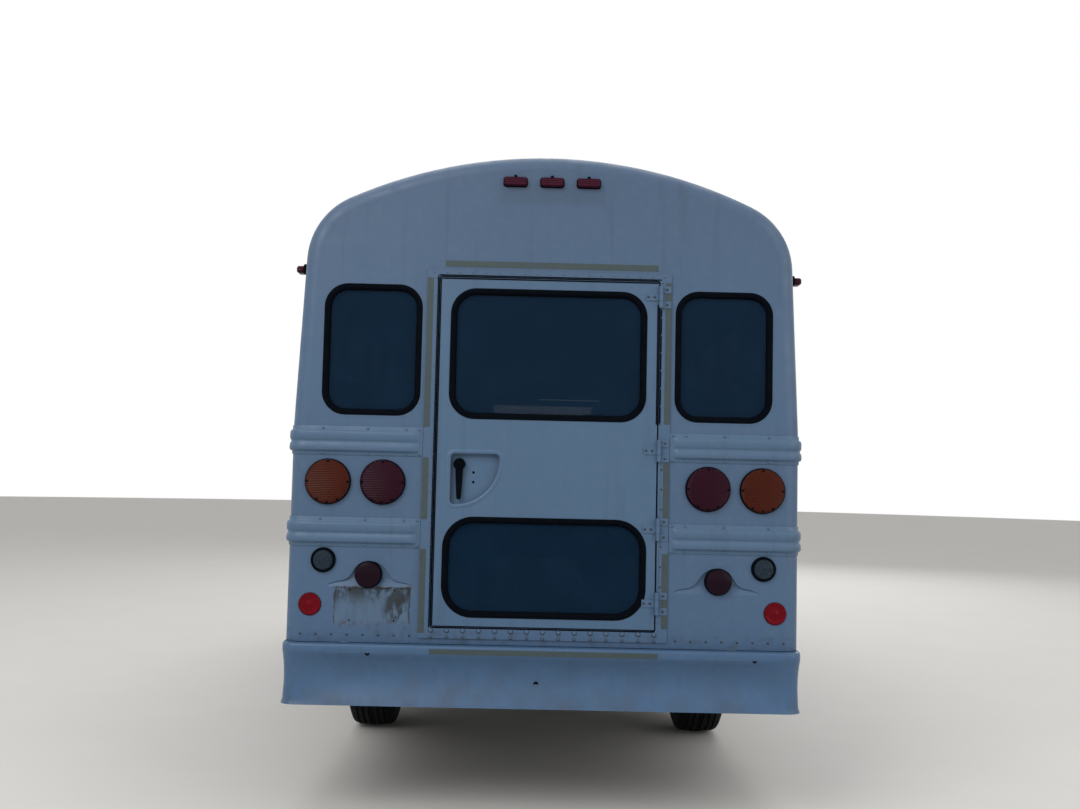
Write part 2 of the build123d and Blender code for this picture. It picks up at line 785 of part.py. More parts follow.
save(build_leaf(LEFT), "entry_leaf_rear")
save(build_leaf(RIGHT), "entry_leaf_front")
save(build_leaf_glass(LEFT), "entry_glass_rear")
save(build_leaf_glass(RIGHT), "entry_glass_front")

# Cab: outer form less inner form, then its openings
cab_outer = cab_form()
cab_hood_core = cab_form(hood_skin)
cab_lamp_core = cab_form(headlamp_depth)


def windshield_outline(margin):
    """The windscreen seen from the front, taken in by margin."""
    low, high = windshield_z[0] + margin, windshield_z[1] - margin
    x = [cab_half_width - (z - cab_belt_z) * tumble - glass_margin - margin for z in (low, high)]
    return [(-x[0], low), (x[0], low), (x[1], high), (-x[1], high)]


def door_outline(margin):
    """The driver's door seen from the left, taken in by margin."""
    with BuildSketch() as face:
        Polygon(*cab_door)
        if margin:
            offset(amount=-margin, kind=Kind.INTERSECTION, mode=Mode.REPLACE)
        fillet(face.vertices(), 30)
    return face.sketch_local


def door_window(margin):
    """The driver's door glass seen from the left, taken in by margin."""
    with BuildSketch() as face:
        Polygon(*cab_door)
        offset(amount=-cab_door_frame - margin, kind=Kind.INTERSECTION, mode=Mode.REPLACE)
        with Locations(((cab_door[0][0] + cab_door[1][0]) / 2, cab_door_glass_z + margin + 500)):
            Rectangle(length, 1000, mode=Mode.INTERSECT)
        fillet(face.vertices(), 30)
    return face.sketch_local


def left_cut(face, low, high, mode):
    """A face drawn in Y and Z, extruded on the left between two distances from the middle."""
    with BuildSketch(side_plane(-high)) as placed:
        add(face)
    extrude(placed.sketch, amount=high - low, mode=mode)


hood_pivot_y = hood_rear_y + hood_pivot_in
hood_slope = (cowl[1] - nose_top - 85) / (nose_y - 40 - cowl[0])
hood_pivot_z = cowl[1] - (hood_pivot_y - cowl[0]) * hood_slope - hood_skin / 2
cab_hinge_x = -cab_half_width - cab_hinge_out
cab_hinge_y = cab_door[1][0] + 3

with BuildPart() as cab_shell:
    add(cab_outer)
    add(cab_void, mode=Mode.SUBTRACT)
    block((0, half_width), (0, side_front_right), (0, height), Mode.SUBTRACT)
    block((-ledge_half, ledge_half), (0, header_rear), (cab_top - 2 * cab_skin, height),
          Mode.SUBTRACT)
    prism(windshield_outline(0), section_plane(cowl[0] + 200), cowl[0] + 200 - header[0] + 60,
          Mode.SUBTRACT)
    block((-hood_half_width - swing, hood_half_width + swing), (hood_rear_y - 12, front_end),
          (hood_front_z - swing, height), Mode.SUBTRACT)
    left_cut(door_outline(0), 600, half_width + 100, Mode.SUBTRACT)
    prism(quarter_window, side_plane(600), 500, Mode.SUBTRACT)
    block((-grille_half_width, grille_half_width), (nose_y - 200, front_end), grille_z,
          Mode.SUBTRACT)
    for side in sides:
        wheel_opening(side, front_axle_y, 600, half_width + 100)
        block(outward(side, *headlamp_x), (nose_y - 400, front_end), headlamp_z, Mode.SUBTRACT)
        rod((side * (hood_half_width + swing + 1), hood_pivot_y, hood_pivot_z),
            (side * (hood_half_width - hood_pin_reach), hood_pivot_y, hood_pivot_z),
            hood_pin_radius)
    fixed_knuckles(cab_hinge_x, cab_hinge_y, cab_hinge_zs)
    for z in cab_hinge_zs:
        for end in sides:
            block((-cab_half_width - hinge_leaf, -cab_half_width),
                  (cab_hinge_y + 4, cab_hinge_y + 50),
                  low_high(z + end * (hinge_height / 6 + 1), z + end * hinge_height / 2))
save(cab_shell, "cab_shell")

with BuildPart() as hood:
    add(cab_outer)
    add(cab_hood_core, mode=Mode.SUBTRACT)
    block((-hood_half_width, hood_half_width), (hood_rear_y, front_end),
          (hood_front_z, height), Mode.INTERSECT)
    for side in sides:
        rod((side * (hood_half_width + swing), hood_pivot_y, hood_pivot_z),
            (side * (hood_half_width - hood_pin_reach - 2), hood_pivot_y, hood_pivot_z),
            hood_pin_radius + running, Mode.SUBTRACT)
save(hood, "hood")

cab_glass_outer = cab_form(glass_inset)
cab_glass_inner = cab_form(glass_inset + glass)

with BuildPart() as windshield:
    add(cab_glass_outer)
    add(cab_glass_inner, mode=Mode.SUBTRACT)
    prism(windshield_outline(fit), section_plane(cowl[0] + 200),
          cowl[0] + 200 - header[0] + 60, Mode.INTERSECT)
save(windshield, "windshield")

with BuildPart() as quarter_glass:
    add(cab_glass_outer)
    add(cab_glass_inner, mode=Mode.SUBTRACT)
    with BuildSketch(side_plane(600)) as opening:
        Polygon(*quarter_window)
        offset(amount=-fit, kind=Kind.INTERSECTION, mode=Mode.REPLACE)
    extrude(opening.sketch, amount=500, mode=Mode.INTERSECT)
save(quarter_glass, "quarter_glass")

cab_door_core = cab_form(cab_door_thick, 300, length)
with BuildPart() as driver_door:
    add(cab_outer)
    add(cab_door_core, mode=Mode.SUBTRACT)
    block((cab_skin - cab_half_width, 0), (0, front_end), (0, cab_floor_top + swing), Mode.SUBTRACT)
    left_cut(door_outline(swing), 600, half_width + 100, Mode.INTERSECT)
    left_cut(door_window(0), 600, half_width + 100, Mode.SUBTRACT)
    for z in cab_hinge_zs:
        block((-cab_half_width - hinge_leaf, -cab_half_width),
              (cab_hinge_y - 60, cab_hinge_y - 5), around(z, hinge_height / 6))
    turning_knuckles(cab_hinge_x, cab_hinge_y, cab_hinge_zs)
save(driver_door, "driver_door")

with BuildPart() as driver_glass:
    add(cab_glass_outer)
    add(cab_glass_inner, mode=Mode.SUBTRACT)
    left_cut(door_window(fit), 600, half_width + 100, Mode.INTERSECT)
save(driver_glass, "driver_glass")

with BuildPart() as lamp_pockets:
    for side in sides:
        block(outward(side, headlamp_x[0] + fit, headlamp_x[1] - fit),
              (nose_y - 400, front_end), grow(headlamp_z, -fit))

with BuildPart() as headlamps:
    add(cab_outer)
    add(cab_lamp_core, mode=Mode.SUBTRACT)
    add(lamp_pockets.part, mode=Mode.INTERSECT)
save(headlamps, "headlamps")

grille_outer = cab_form(10)
with BuildPart() as grille:
    add(grille_outer)
    add(cab_lamp_core, mode=Mode.SUBTRACT)
    block((fit - grille_half_width, grille_half_width - fit), (nose_y - 200, front_end),
          grow(grille_z, -fit), Mode.INTERSECT)
    pitch = (grille_z[1] - grille_z[0] - grille_bar) / grille_bars
    for i in range(grille_bars):
        z = grille_z[0] + grille_bar + i * pitch
        block((grille_bar - grille_half_width, grille_half_width - grille_bar),
              (nose_y - 200, front_end), (z, z + pitch - grille_bar), Mode.SUBTRACT)
save(grille, "grille")

# Cab floor, firewall and front wheel houses
with BuildPart() as cab_floor:
    edge = cab_half_width - cab_skin
    low = cab_floor_top - cab_floor_thickness
    house = (rail_x[1] + 65, edge)
    block((-edge, step_inner_x - sheet), (side_front_left, firewall_y), (low, cab_floor_top))
    block((step_inner_x - sheet - 1, edge), (entry_y[1] + sheet, firewall_y),
          (low, cab_floor_top))
    block((-edge, edge), (firewall_y, firewall_y + 30), (low, cowl[1] - 90))
    for side in sides:
        wheel_opening(side, front_axle_y, *house, Mode.ADD, arch_radius + sheet)
        block(outward(side, house[0] - 1, house[1] + 1),
              around(front_axle_y, arch_radius + 20), (-arch_radius, low), Mode.SUBTRACT)
        wheel_opening(side, front_axle_y, house[0] + sheet, house[1] + 1)
    block((-edge - 1, swing - edge), (cab_door[0][0], cab_door[1][0]), (0, height), Mode.SUBTRACT)
    add(cab_void, mode=Mode.INTERSECT)
save(cab_floor, "cab_floor")

# Ladder frame with a drop under the cab
rail_bottom_rear = frame_top - rail_depth
rail_bottom_front = rail_bottom_rear - front_drop
drop_y = (side_front_left - 310, side_front_left - 20)
rail_outline = [(frame_rear, rail_bottom_rear), (frame_rear, frame_top), (drop_y[0], frame_top),
                (drop_y[1], frame_top - front_drop), (frame_front, frame_top - front_drop),
                (frame_front, rail_bottom_front), (drop_y[1] - 40, rail_bottom_front),
                (drop_y[0] - 40, rail_bottom_rear)]
muffler_y = side_front_left - 660
# Crossmembers: Y, lower face, height
crossmembers = ((frame_rear + 30, rail_bottom_rear + 20, 100),
                (rear_axle_y - 450, rail_bottom_rear + 20, 100),
                (rear_axle_y + 450, rail_bottom_rear + 20, 100),
                (muffler_y, rail_bottom_rear + 20, 100),
                (front_axle_y - 470, rail_bottom_front, 45),
                (frame_front - 30, rail_bottom_front, 60))
with BuildPart() as frame_rails:
    for side in sides:
        prism(rail_outline, side_plane(min(outward(side, *rail_x))), rail_x[1] - rail_x[0])
        channel = outward(side, rail_x[0], rail_x[1] - rail_web)
        with BuildSketch(side_plane(channel[0])) as web:
            Polygon(*rail_outline)
            offset(amount=-rail_web, kind=Kind.INTERSECTION, mode=Mode.REPLACE)
        extrude(web.sketch, amount=channel[1] - channel[0], mode=Mode.SUBTRACT)
    for y, z, deep in crossmembers:
        block(around(0, rail_x[1] - rail_web), around(y, 30), (z, z + deep))
save(frame_rails, "frame_rails")

# Bumpers
with BuildPart() as rear_bumper:
    reach = half_width + 2
    drop = bumper_top - skirt_bottom
    back = rear_end + bumper_return
    with BuildLine() as path:
        FilletPolyline((-reach, back, bumper_top), (-reach, rear_end, bumper_top),
                       (reach, rear_end, bumper_top), (reach, back, bumper_top),
                       radius=rear_round)
    with BuildSketch(Plane(origin=path.line @ 0, x_dir=(1, 0, 0), z_dir=(0, -1, 0))) as face:
        with BuildLine():
            Polyline((6, 0), (0, -12), (0, -34))
            ThreePointArc((0, -34), (bumper_hollow, -110), (6, 16 - drop))
            Polyline((6, 16 - drop), (0, -drop), (bumper_sheet, -drop),
                     (6 + bumper_sheet, 16 - drop))
            ThreePointArc((6 + bumper_sheet, 16 - drop), (bumper_hollow + bumper_sheet, -110),
                          (bumper_sheet, -34))
            Polyline((bumper_sheet, -34), (bumper_sheet, -2), (6, 0))
        make_face()
    sweep(face.sketch, path=path.line)
    for side in sides:
        block(outward(side, rail_x[0] + rail_web, rail_x[1]),
              (rear_end + bumper_hollow + 4, frame_rear), (rail_bottom_rear + 30, frame_top - 30))
    block((rear_round - half_width, half_width - rear_round), (rear_end + 4, rear_wall_y + wall),
          (bumper_top - sheet - 2, bumper_top - 2))
save(rear_bumper, "rear_bumper")

bumper_bow = 190
bumper_depth = 70
bumper_half = half_width - 55
with BuildPart() as front_bumper:
    with BuildSketch(Plane.XY.offset(430)):
        with BuildLine():
            tip_y = front_end - bumper_bow
            ThreePointArc((-bumper_half, tip_y), (0, front_end), (bumper_half, tip_y))
            Line((bumper_half, tip_y), (bumper_half, tip_y - bumper_depth))
            ThreePointArc((bumper_half, tip_y - bumper_depth), (0, front_end - bumper_depth),
                          (-bumper_half, tip_y - bumper_depth))
            Line((-bumper_half, tip_y - bumper_depth), (-bumper_half, tip_y))
        make_face()
    extrude(amount=200)
    for side in sides:
        block(outward(side, rail_x[0] + rail_web, rail_x[1]), (frame_front, front_end - 100),
              (rail_bottom_front + 50, frame_top - front_drop - 10))
save(front_bumper, "front_bumper")

# Front axle beam with its bosses; the knuckles turn on the kingpins
kingpin_x = half_track - kingpin_inboard
beam_z = (rail_bottom_front - 105, rail_bottom_front - front_spring_leaf)
with BuildPart() as front_axle:
    block(around(0, kingpin_x - 30), around(front_axle_y, 35), beam_z)
    for side in sides:
        add_barrel(side * kingpin_x, front_axle_y, tyre_radius, boss_half, boss_radius)
        block(outward(side, kingpin_x - 90, kingpin_x - 10), around(front_axle_y, 30),
              (tyre_radius - boss_half, tyre_radius + boss_half))
    for side in sides:
        block(outward(side, kingpin_x - boss_radius - 8, kingpin_x + boss_radius + 1),
              around(front_axle_y, boss_radius + 1), (0, tyre_radius - boss_half), Mode.SUBTRACT)
        add_barrel(side * kingpin_x, front_axle_y, tyre_radius, 2 * boss_half,
                   kingpin_radius + running, Mode.SUBTRACT)
save(front_axle, "front_axle")


def build_knuckle(side):
    """A fork about the axle boss with its kingpin and the wheel's spindle."""
    x = side * kingpin_x
    yoke_low = boss_half + fit
    with BuildPart() as knuckle:
        for end in sides:
            z = tyre_radius + end * (yoke_low + yoke_thickness / 2)
            add_barrel(x, front_axle_y, z, yoke_thickness / 2, boss_radius)
            block(outward(side, kingpin_x, kingpin_x + 54), around(front_axle_y, boss_radius),
                  around(z, yoke_thickness / 2))
        block(outward(side, kingpin_x + boss_radius + 2, kingpin_x + 54),
              around(front_axle_y, boss_radius), around(tyre_radius, yoke_low + yoke_thickness))
        add_barrel(x, front_axle_y, tyre_radius, yoke_low + yoke_thickness, kingpin_radius)
        rod((side * (kingpin_x + 50), front_axle_y, tyre_radius),
            (side * (half_track + spindle_reach - 1), front_axle_y, tyre_radius), spindle_radius)
    return knuckle


save(build_knuckle(LEFT), "knuckle_left")
save(build_knuckle(RIGHT), "knuckle_right")

# Rear axle with its differential, and the leaf springs
spring_pad_z = tyre_radius + axle_tube + 8
with BuildPart() as rear_axle:
    tube_end = half_track + drum_x[0] - 1
    spindle_end = half_track + spindle_reach - 1
    for reach, radius in ((tube_end, axle_tube), (spindle_end, spindle_radius)):
        rod((-reach, rear_axle_y, tyre_radius), (reach, rear_axle_y, tyre_radius), radius)
    with Locations((0, rear_axle_y, tyre_radius)):
        Sphere(diff_radius)
    rod((0, rear_axle_y, tyre_radius), (0, rear_axle_y + pinion_reach, tyre_radius), 50)
    for side in sides:
        block(outward(side, *around(spring_x, spring_width / 2)), around(rear_axle_y, 60),
              (tyre_radius, spring_pad_z))
save(rear_axle, "rear_axle")

eye_z = rail_bottom_rear + 40
spring_ends = around(rear_axle_y, spring_half)
with BuildPart() as springs:
    for side in sides:
        across = outward(side, *around(spring_x, spring_width / 2))
        with BuildSketch(side_plane(across[0])) as leaf:
            with BuildLine():
                ThreePointArc((spring_ends[0], eye_z), (rear_axle_y, spring_pad_z),
                              (spring_ends[1], eye_z))
                Line((spring_ends[1], eye_z), (spring_ends[1], eye_z + spring_leaf))
                ThreePointArc((spring_ends[1], eye_z + spring_leaf),
                              (rear_axle_y, spring_pad_z + spring_leaf),
                              (spring_ends[0], eye_z + spring_leaf))
                Line((spring_ends[0], eye_z + spring_leaf), (spring_ends[0], eye_z))
            make_face()
        extrude(leaf.sketch, amount=spring_width)
        for y in spring_ends:
            block(outward(side, rail_x[1], spring_x + spring_width / 2), around(y, 30),
                  (eye_z - 15, eye_z + 70))
        block(outward(side, *rail_x), around(front_axle_y, 480),
              (rail_bottom_front - front_spring_leaf, rail_bottom_front))
save(springs, "springs")

gearbox_rear = front_axle_y - 1170
gearbox_z = (rail_bottom_front + 45, cab_floor_top - cab_floor_thickness - 5)
with BuildPart() as drive_shaft:
    rod((0, rear_axle_y + pinion_reach + joint_gap, tyre_radius),
        (0, gearbox_rear - joint_gap, sum(gearbox_z) / 2), 36)
save(drive_shaft, "drive_shaft")

engine_y = (front_axle_y + 40, front_axle_y + 570)
radiator_y = (engine_y[1] + 40, engine_y[1] + 100)
with BuildPart() as engine:
    block((-280, 280), engine_y, (480, 980))
    block((-140, 140), (gearbox_rear, engine_y[0]), gearbox_z)
    block((-370, 370), radiator_y, (500, 950))
    block((-60, 60), (engine_y[1], radiator_y[0]), (600, 720))
    block((rail_web - rail_x[1], rail_x[1] - rail_web), around(engine_y[0] + 260, 40),
          (rail_bottom_front + 90, 520))
save(engine, "engine")

# Fuel tank outside the left rail, hung from it by two brackets
tank_x = (rail_x[1] + 45, half_width - 82)
tank_y = (rear_axle_y + spring_half + 90, drop_y[0] - 50)
with BuildPart() as fuel_tank:
    block(outward(LEFT, *tank_x), tank_y, (470, frame_top - 20))
    fillet(fuel_tank.edges().filter_by(Axis.Y), 50)
    for y in (tank_y[0] + 120, tank_y[1] - 120):
        block(outward(LEFT, rail_x[1], tank_x[0] + 60), around(y, 25), (560, 600))
save(fuel_tank, "fuel_tank")

exhaust_x, exhaust_z = 260, 440
with BuildPart() as exhaust:
    with BuildLine() as route:
        FilletPolyline((exhaust_x - 30, engine_y[0] - 1, 500), (exhaust_x - 30, gearbox_rear - 50, 490),
                       (exhaust_x, muffler_y + 500, exhaust_z),
                       (exhaust_x, rear_axle_y + 810, exhaust_z),
                       (half_width - 27, rear_axle_y + 610, 418), radius=90)
    with BuildSketch(Plane(origin=route.line @ 0, z_dir=route.line % 0)) as pipe:
        Circle(28)
    sweep(pipe.sketch, path=route.line)
    rod((exhaust_x, muffler_y + 330, exhaust_z), (exhaust_x, muffler_y - 330, exhaust_z), 85)
    block(around(exhaust_x, 15), around(muffler_y, 15), (500, rail_bottom_rear + 20))
save(exhaust, "exhaust")

# Wheels: the rim's section is (outward, radius) from the wheel's middle
with BuildSketch() as rim_profile:
    back = rim_radius - 8
    bore = spindle_radius + running
    Polygon((-rim_half - 6, rim_flange), (-rim_half, rim_flange), (-rim_half, rim_radius),
            (rim_half, rim_radius), (rim_half, rim_flange), (rim_half + 6, rim_flange),
            (rim_half + 6, back), (42, back), (30, 120), (46, 95), (46, hub_radius),
            (78, hub_radius - 6), (78, 0), (spindle_reach, 0), (spindle_reach, bore),
            (drum_x[0], bore), (drum_x[0], drum_radius), (drum_x[1], drum_radius),
            (drum_x[1], 120), (20, 120), (30, back), (-rim_half - 6, back))

with BuildSketch() as tyre_profile:
    with BuildLine():
        half = tyre_width / 2
        bead = rim_radius + fit
        seat = rim_half - fit
        Polyline((seat, rim_flange), (seat - 1, bead + 4), (seat - 6, bead), (6 - seat, bead),
                 (1 - seat, bead + 4), (-seat, rim_flange))
        ThreePointArc((-seat, rim_flange), (-half, 300), (14 - half, 358))
        ThreePointArc((14 - half, 358), (22 - half, 372), (38 - half, 381))
        ThreePointArc((38 - half, 381), (0, tyre_radius), (half - 38, 381))
        ThreePointArc((half - 38, 381), (half - 22, 372), (half - 14, 358))
        ThreePointArc((half - 14, 358), (half, 300), (seat, rim_flange))
    make_face()

wheel_holes = 8
hole_circle = 158


def wheel_part(profile, side, y, holes=0):
    """A section turned about one wheel's axis, with holes through its disc."""
    centre = (side * half_track, y, tyre_radius)
    with BuildPart() as part:
        with BuildSketch(Plane(origin=centre, x_dir=(side, 0, 0), z_dir=(0, -side, 0))) as face:
            add(profile.sketch_local)
        revolve(face.sketch, axis=Axis(centre, (1, 0, 0)))
        for i in range(holes):
            angle = 2 * math.pi * i / holes
            hole_y = y + hole_circle * math.cos(angle)
            hole_z = tyre_radius + hole_circle * math.sin(angle)
            rod((centre[0] + side * (drum_x[1] + 1), hole_y, hole_z),
                (centre[0] + side * 60, hole_y, hole_z), 16, Mode.SUBTRACT)
    return part


for end, y in (("front", front_axle_y), ("rear", rear_axle_y)):
    for side, word in ((LEFT, "left"), (RIGHT, "right")):
        save(wheel_part(rim_profile, side, y, wheel_holes), f"{end}_wheel_{word}")
        save(wheel_part(tyre_profile, side, y), f"{end}_tyre_{word}")


# Lamps, each flat on the panel that carries it
def lamp_pair(x, z, radius, proud=lamp_proud):
    """A round lamp on each side of the rear wall."""
    for side in sides:
        rod((side * x, rear_wall_y, z), (side * x, rear_wall_y - proud, z), radius)


with BuildPart() as amber_lamps:
    for x in id_lamp_xs:
        block(around(x, id_lamp[0] / 2), (header[0] - cap_length, header[0]),
              around(cap_lamp_z, id_lamp[1] / 2))
    add(cap_form(-lamp_proud), mode=Mode.INTERSECT)
    add(cap_outside, mode=Mode.SUBTRACT)
    lamp_pair(*big_amber_lamp)
save(amber_lamps, "amber_lamps")

with BuildPart() as red_lamps:
    for x in id_lamp_xs:
        block(around(x, id_lamp[0] / 2), (rear_wall_y - lamp_proud, rear_wall_y + 50),
              around(id_lamp_z, id_lamp[1] / 2))
    for side in sides:
        block(outward(side, side_x(marker_z) - 20, side_x(marker_z) + 28),
              around(marker_y, 40), around(marker_z, 18))
    add(body_shell.part, mode=Mode.SUBTRACT)
    add(inner_body, mode=Mode.SUBTRACT)
    lamp_pair(*big_red_lamp)
    for side in sides:
        at = (side * stop_lamp[0], rear_wall_y + recess_depth, stop_lamp[1])
        rod(at, (at[0], rear_wall_y - lamp_proud, at[2]), stop_lamp[2])
    add(rear_wall.part, mode=Mode.SUBTRACT)
    lamp_pair(*reflector, 8)
save(red_lamps, "red_lamps")

with BuildPart() as reverse_lamps:
    lamp_pair(*reverse_lamp)
save(reverse_lamps, "reverse_lamps")

# Mirrors on two arms each side
mirror_x = (half_width + 98, half_width + 288)
mirror_y = firewall_y - 40
with BuildPart() as mirrors:
    for side in sides:
        plate([(outward(side, *mirror_x), (1380, 1700), 40)], section_plane(mirror_y), 60)
        for z, root in ((1440, cab_half_width - 100), (1640, cab_half_width - 120)):
            rod((side * root, mirror_y - 150, z), (side * (mirror_x[0] + 50), mirror_y - 30, z), 11)
    add(cab_outer, mode=Mode.SUBTRACT)
save(mirrors, "mirrors")

# Seats, their frames and the driver's place
seat_inner = half_width - wall - seat_gap - seat_width
seat_top = floor_top + seat_height
seat_under = seat_top - seat_pad


def build_seats(side):
    """All benches on one side, each an L of cushion and back."""
    with BuildPart() as seats:
        for y in seat_rows[side]:
            front = y + seat_depth / 2
            rear = y - seat_depth / 2
            back_top = seat_top + seat_back_height
            prism([(front, seat_under), (front, seat_top), (rear, seat_top),
                   (rear - 70, back_top), (rear - 70 - seat_back_pad, back_top),
                   (rear - seat_back_pad, seat_under)],
                  side_plane(min(outward(side, seat_inner, seat_inner + seat_width))), seat_width)
    return seats


save(build_seats(LEFT), "seats_left")
save(build_seats(RIGHT), "seats_right")

with BuildPart() as seat_frames:
    leg = (seat_inner + 20, seat_inner + 20 + seat_tube)
    for side in sides:
        for y in seat_rows[side]:
            for end in sides:
                at = around(y + end * 150, seat_tube / 2)
                block(outward(side, leg[0], half_width - wall), at,
                      (seat_under - seat_tube, seat_under))
                block(outward(side, *leg), at, (floor_top, seat_under))
            block(outward(side, *leg), around(y, 150), (floor_top, floor_top + seat_tube))
save(seat_frames, "seat_frames")

driver_y = side_front_left + 260
driver_z = cab_floor_top + 320
with BuildPart() as driver_seat:
    block(around(driver_x, 240), (driver_y, driver_y + 460), (driver_z, driver_z + 120))
    prism([(driver_y, driver_z), (driver_y + 10, driver_z + 120), (driver_y - 80, driver_z + 780),
           (driver_y - 180, driver_z + 780), (driver_y - 100, driver_z)],
          side_plane(driver_x - 240), 480)
    block(around(driver_x, 170), (driver_y + 40, driver_y + 380), (cab_floor_top, driver_z))
save(driver_seat, "driver_seat")

cab_inside = cab_form(cab_skin + fit, 300, length)
with BuildPart() as dashboard:
    prism([(firewall_y - 310, 1000), (firewall_y - 350, 1130), (firewall_y - 290, 1230),
           (firewall_y, 1250), (firewall_y, 1000)], side_plane(-half_width), 2 * half_width)
    add(cab_inside, mode=Mode.INTERSECT)
    add(cab_floor.part, mode=Mode.SUBTRACT)
save(dashboard, "dashboard")

wheel_centre = Vector(driver_x, firewall_y - 490, 1190)
column = Vector(0, 200, -80)
with BuildPart() as steering_wheel:
    rod(tuple(wheel_centre), tuple(wheel_centre + column), 25)
    with BuildSketch(Plane(origin=wheel_centre, z_dir=column.normalized())) as rim_ring:
        Circle(205)
        Circle(180, mode=Mode.SUBTRACT)
        Rectangle(370, 30)
        Circle(50)
    extrude(rim_ring.sketch, amount=22)
    add(dashboard.part, mode=Mode.SUBTRACT)
save(steering_wheel, "steering_wheel")
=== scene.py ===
import math
import bpy
import bmesh
from mathutils import Matrix, Vector
from mathutils.bvhtree import BVHTree


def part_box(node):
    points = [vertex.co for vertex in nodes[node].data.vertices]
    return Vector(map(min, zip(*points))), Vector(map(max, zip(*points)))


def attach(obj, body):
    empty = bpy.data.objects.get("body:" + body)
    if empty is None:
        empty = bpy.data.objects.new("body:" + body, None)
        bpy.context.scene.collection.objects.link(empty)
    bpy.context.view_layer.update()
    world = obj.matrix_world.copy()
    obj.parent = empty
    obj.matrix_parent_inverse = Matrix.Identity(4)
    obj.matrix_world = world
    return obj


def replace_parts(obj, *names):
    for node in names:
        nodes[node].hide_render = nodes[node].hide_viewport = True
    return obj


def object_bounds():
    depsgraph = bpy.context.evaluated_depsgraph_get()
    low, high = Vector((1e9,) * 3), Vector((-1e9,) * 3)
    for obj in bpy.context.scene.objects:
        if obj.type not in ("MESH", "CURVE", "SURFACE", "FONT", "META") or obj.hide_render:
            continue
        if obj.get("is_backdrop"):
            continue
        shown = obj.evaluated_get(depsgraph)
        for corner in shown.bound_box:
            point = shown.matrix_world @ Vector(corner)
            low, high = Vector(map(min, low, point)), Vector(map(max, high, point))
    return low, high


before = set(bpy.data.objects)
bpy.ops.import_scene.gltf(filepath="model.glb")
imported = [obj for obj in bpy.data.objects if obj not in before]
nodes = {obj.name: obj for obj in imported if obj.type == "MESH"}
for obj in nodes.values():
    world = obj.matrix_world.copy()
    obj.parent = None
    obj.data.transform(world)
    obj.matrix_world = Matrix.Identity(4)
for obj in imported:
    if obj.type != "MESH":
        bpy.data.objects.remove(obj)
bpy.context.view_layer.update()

scene = bpy.context.scene

# Sizes from part.py, in metres
HALF = 1.030
REAR = -2.99
BUMPER = -3.05
DOOR_FACE = REAR - 0.006
BELT = 1.56
TILT = math.radians(2.4)
TYRE_R, TRACK = 0.387, 0.865
AXLES = {"front": 2.22, "rear": -1.31}
BELT_RAILS = ((1.431, 1.547), (1.065, 1.182))
RAIL_RIVETS = [z for low, high in BELT_RAILS for z in (low + 0.008, high - 0.008)]
RAIL_END = {-1: 0.659, 1: 0.783}
LAMP_ROW = (-0.150, 0, 0.150)
SIDES = {"left": -1, "right": 1}
BOTH = (-1, 1)
BACK, FORE, UP = (0, -1, 0), (0, 1, 0), (0, 0, 1)


def srgb(r, g, b):
    """A colour written as 0 to 255, as Blender's linear values."""
    return tuple(c / 255 / 12.92 if c <= 10 else ((c / 255 + 0.055) / 1.055) ** 2.4
                 for c in (r, g, b)) + (1,)


def scaled(colour, share):
    """A colour made darker or lighter."""
    return tuple(c * share for c in colour[:3]) + (1,)


def side_x(z):
    """The body side's distance from the middle at height z."""
    return HALF - max(0, z - BELT) * math.tan(TILT)


def mirrored(side, a, b):
    """The low and high end of a stretch across one side of the bus."""
    return sorted((side * a, side * b))


def link(name, data):
    """Puts a new object into the scene."""
    made = bpy.data.objects.new(name, data)
    scene.collection.objects.link(made)
    return made


# Materials
class Tree:
    """A node tree with a few short ways to add nodes."""

    def __init__(self, tree):
        self.tree = tree

    def wire(self, source, target):
        if hasattr(source, "links"):
            self.tree.links.new(source, target)
        else:
            target.default_value = source

    def node(self, kind, inputs=None, out=0, **settings):
        """Adds a node, fills its inputs and gives one of its outputs."""
        made = self.tree.nodes.new(kind)
        for key, value in settings.items():
            setattr(made, key, value)
        for key, value in (inputs or {}).items():
            self.wire(value, made.inputs[key])
        return made.outputs[out]

    def calc(self, what, a, b=0.0):
        return self.node("ShaderNodeMath", {0: a, 1: b}, operation=what)

    def mul(self, product, *others):
        for other in others:
            product = self.calc("MULTIPLY", product, other)
        return product

    def off(self, value, middle):
        """How far value is from middle, either way."""
        return self.calc("ABSOLUTE", self.calc("SUBTRACT", value, middle))

    def span(self, value, low, high, to_low=0.0, to_high=1.0):
        """Value mapped from low..high to two others, and held beyond them."""
        return self.node("ShaderNodeMapRange", {
            "Value": value, "From Min": low, "From Max": high, "To Min": to_low, "To Max": to_high})

    def between(self, value, low, high, soft):
        """1 inside low..high, fading to 0 over soft beyond each end."""
        return self.mul(self.span(value, low - soft, low),
                        self.span(value, high, high + soft, 1.0, 0.0))


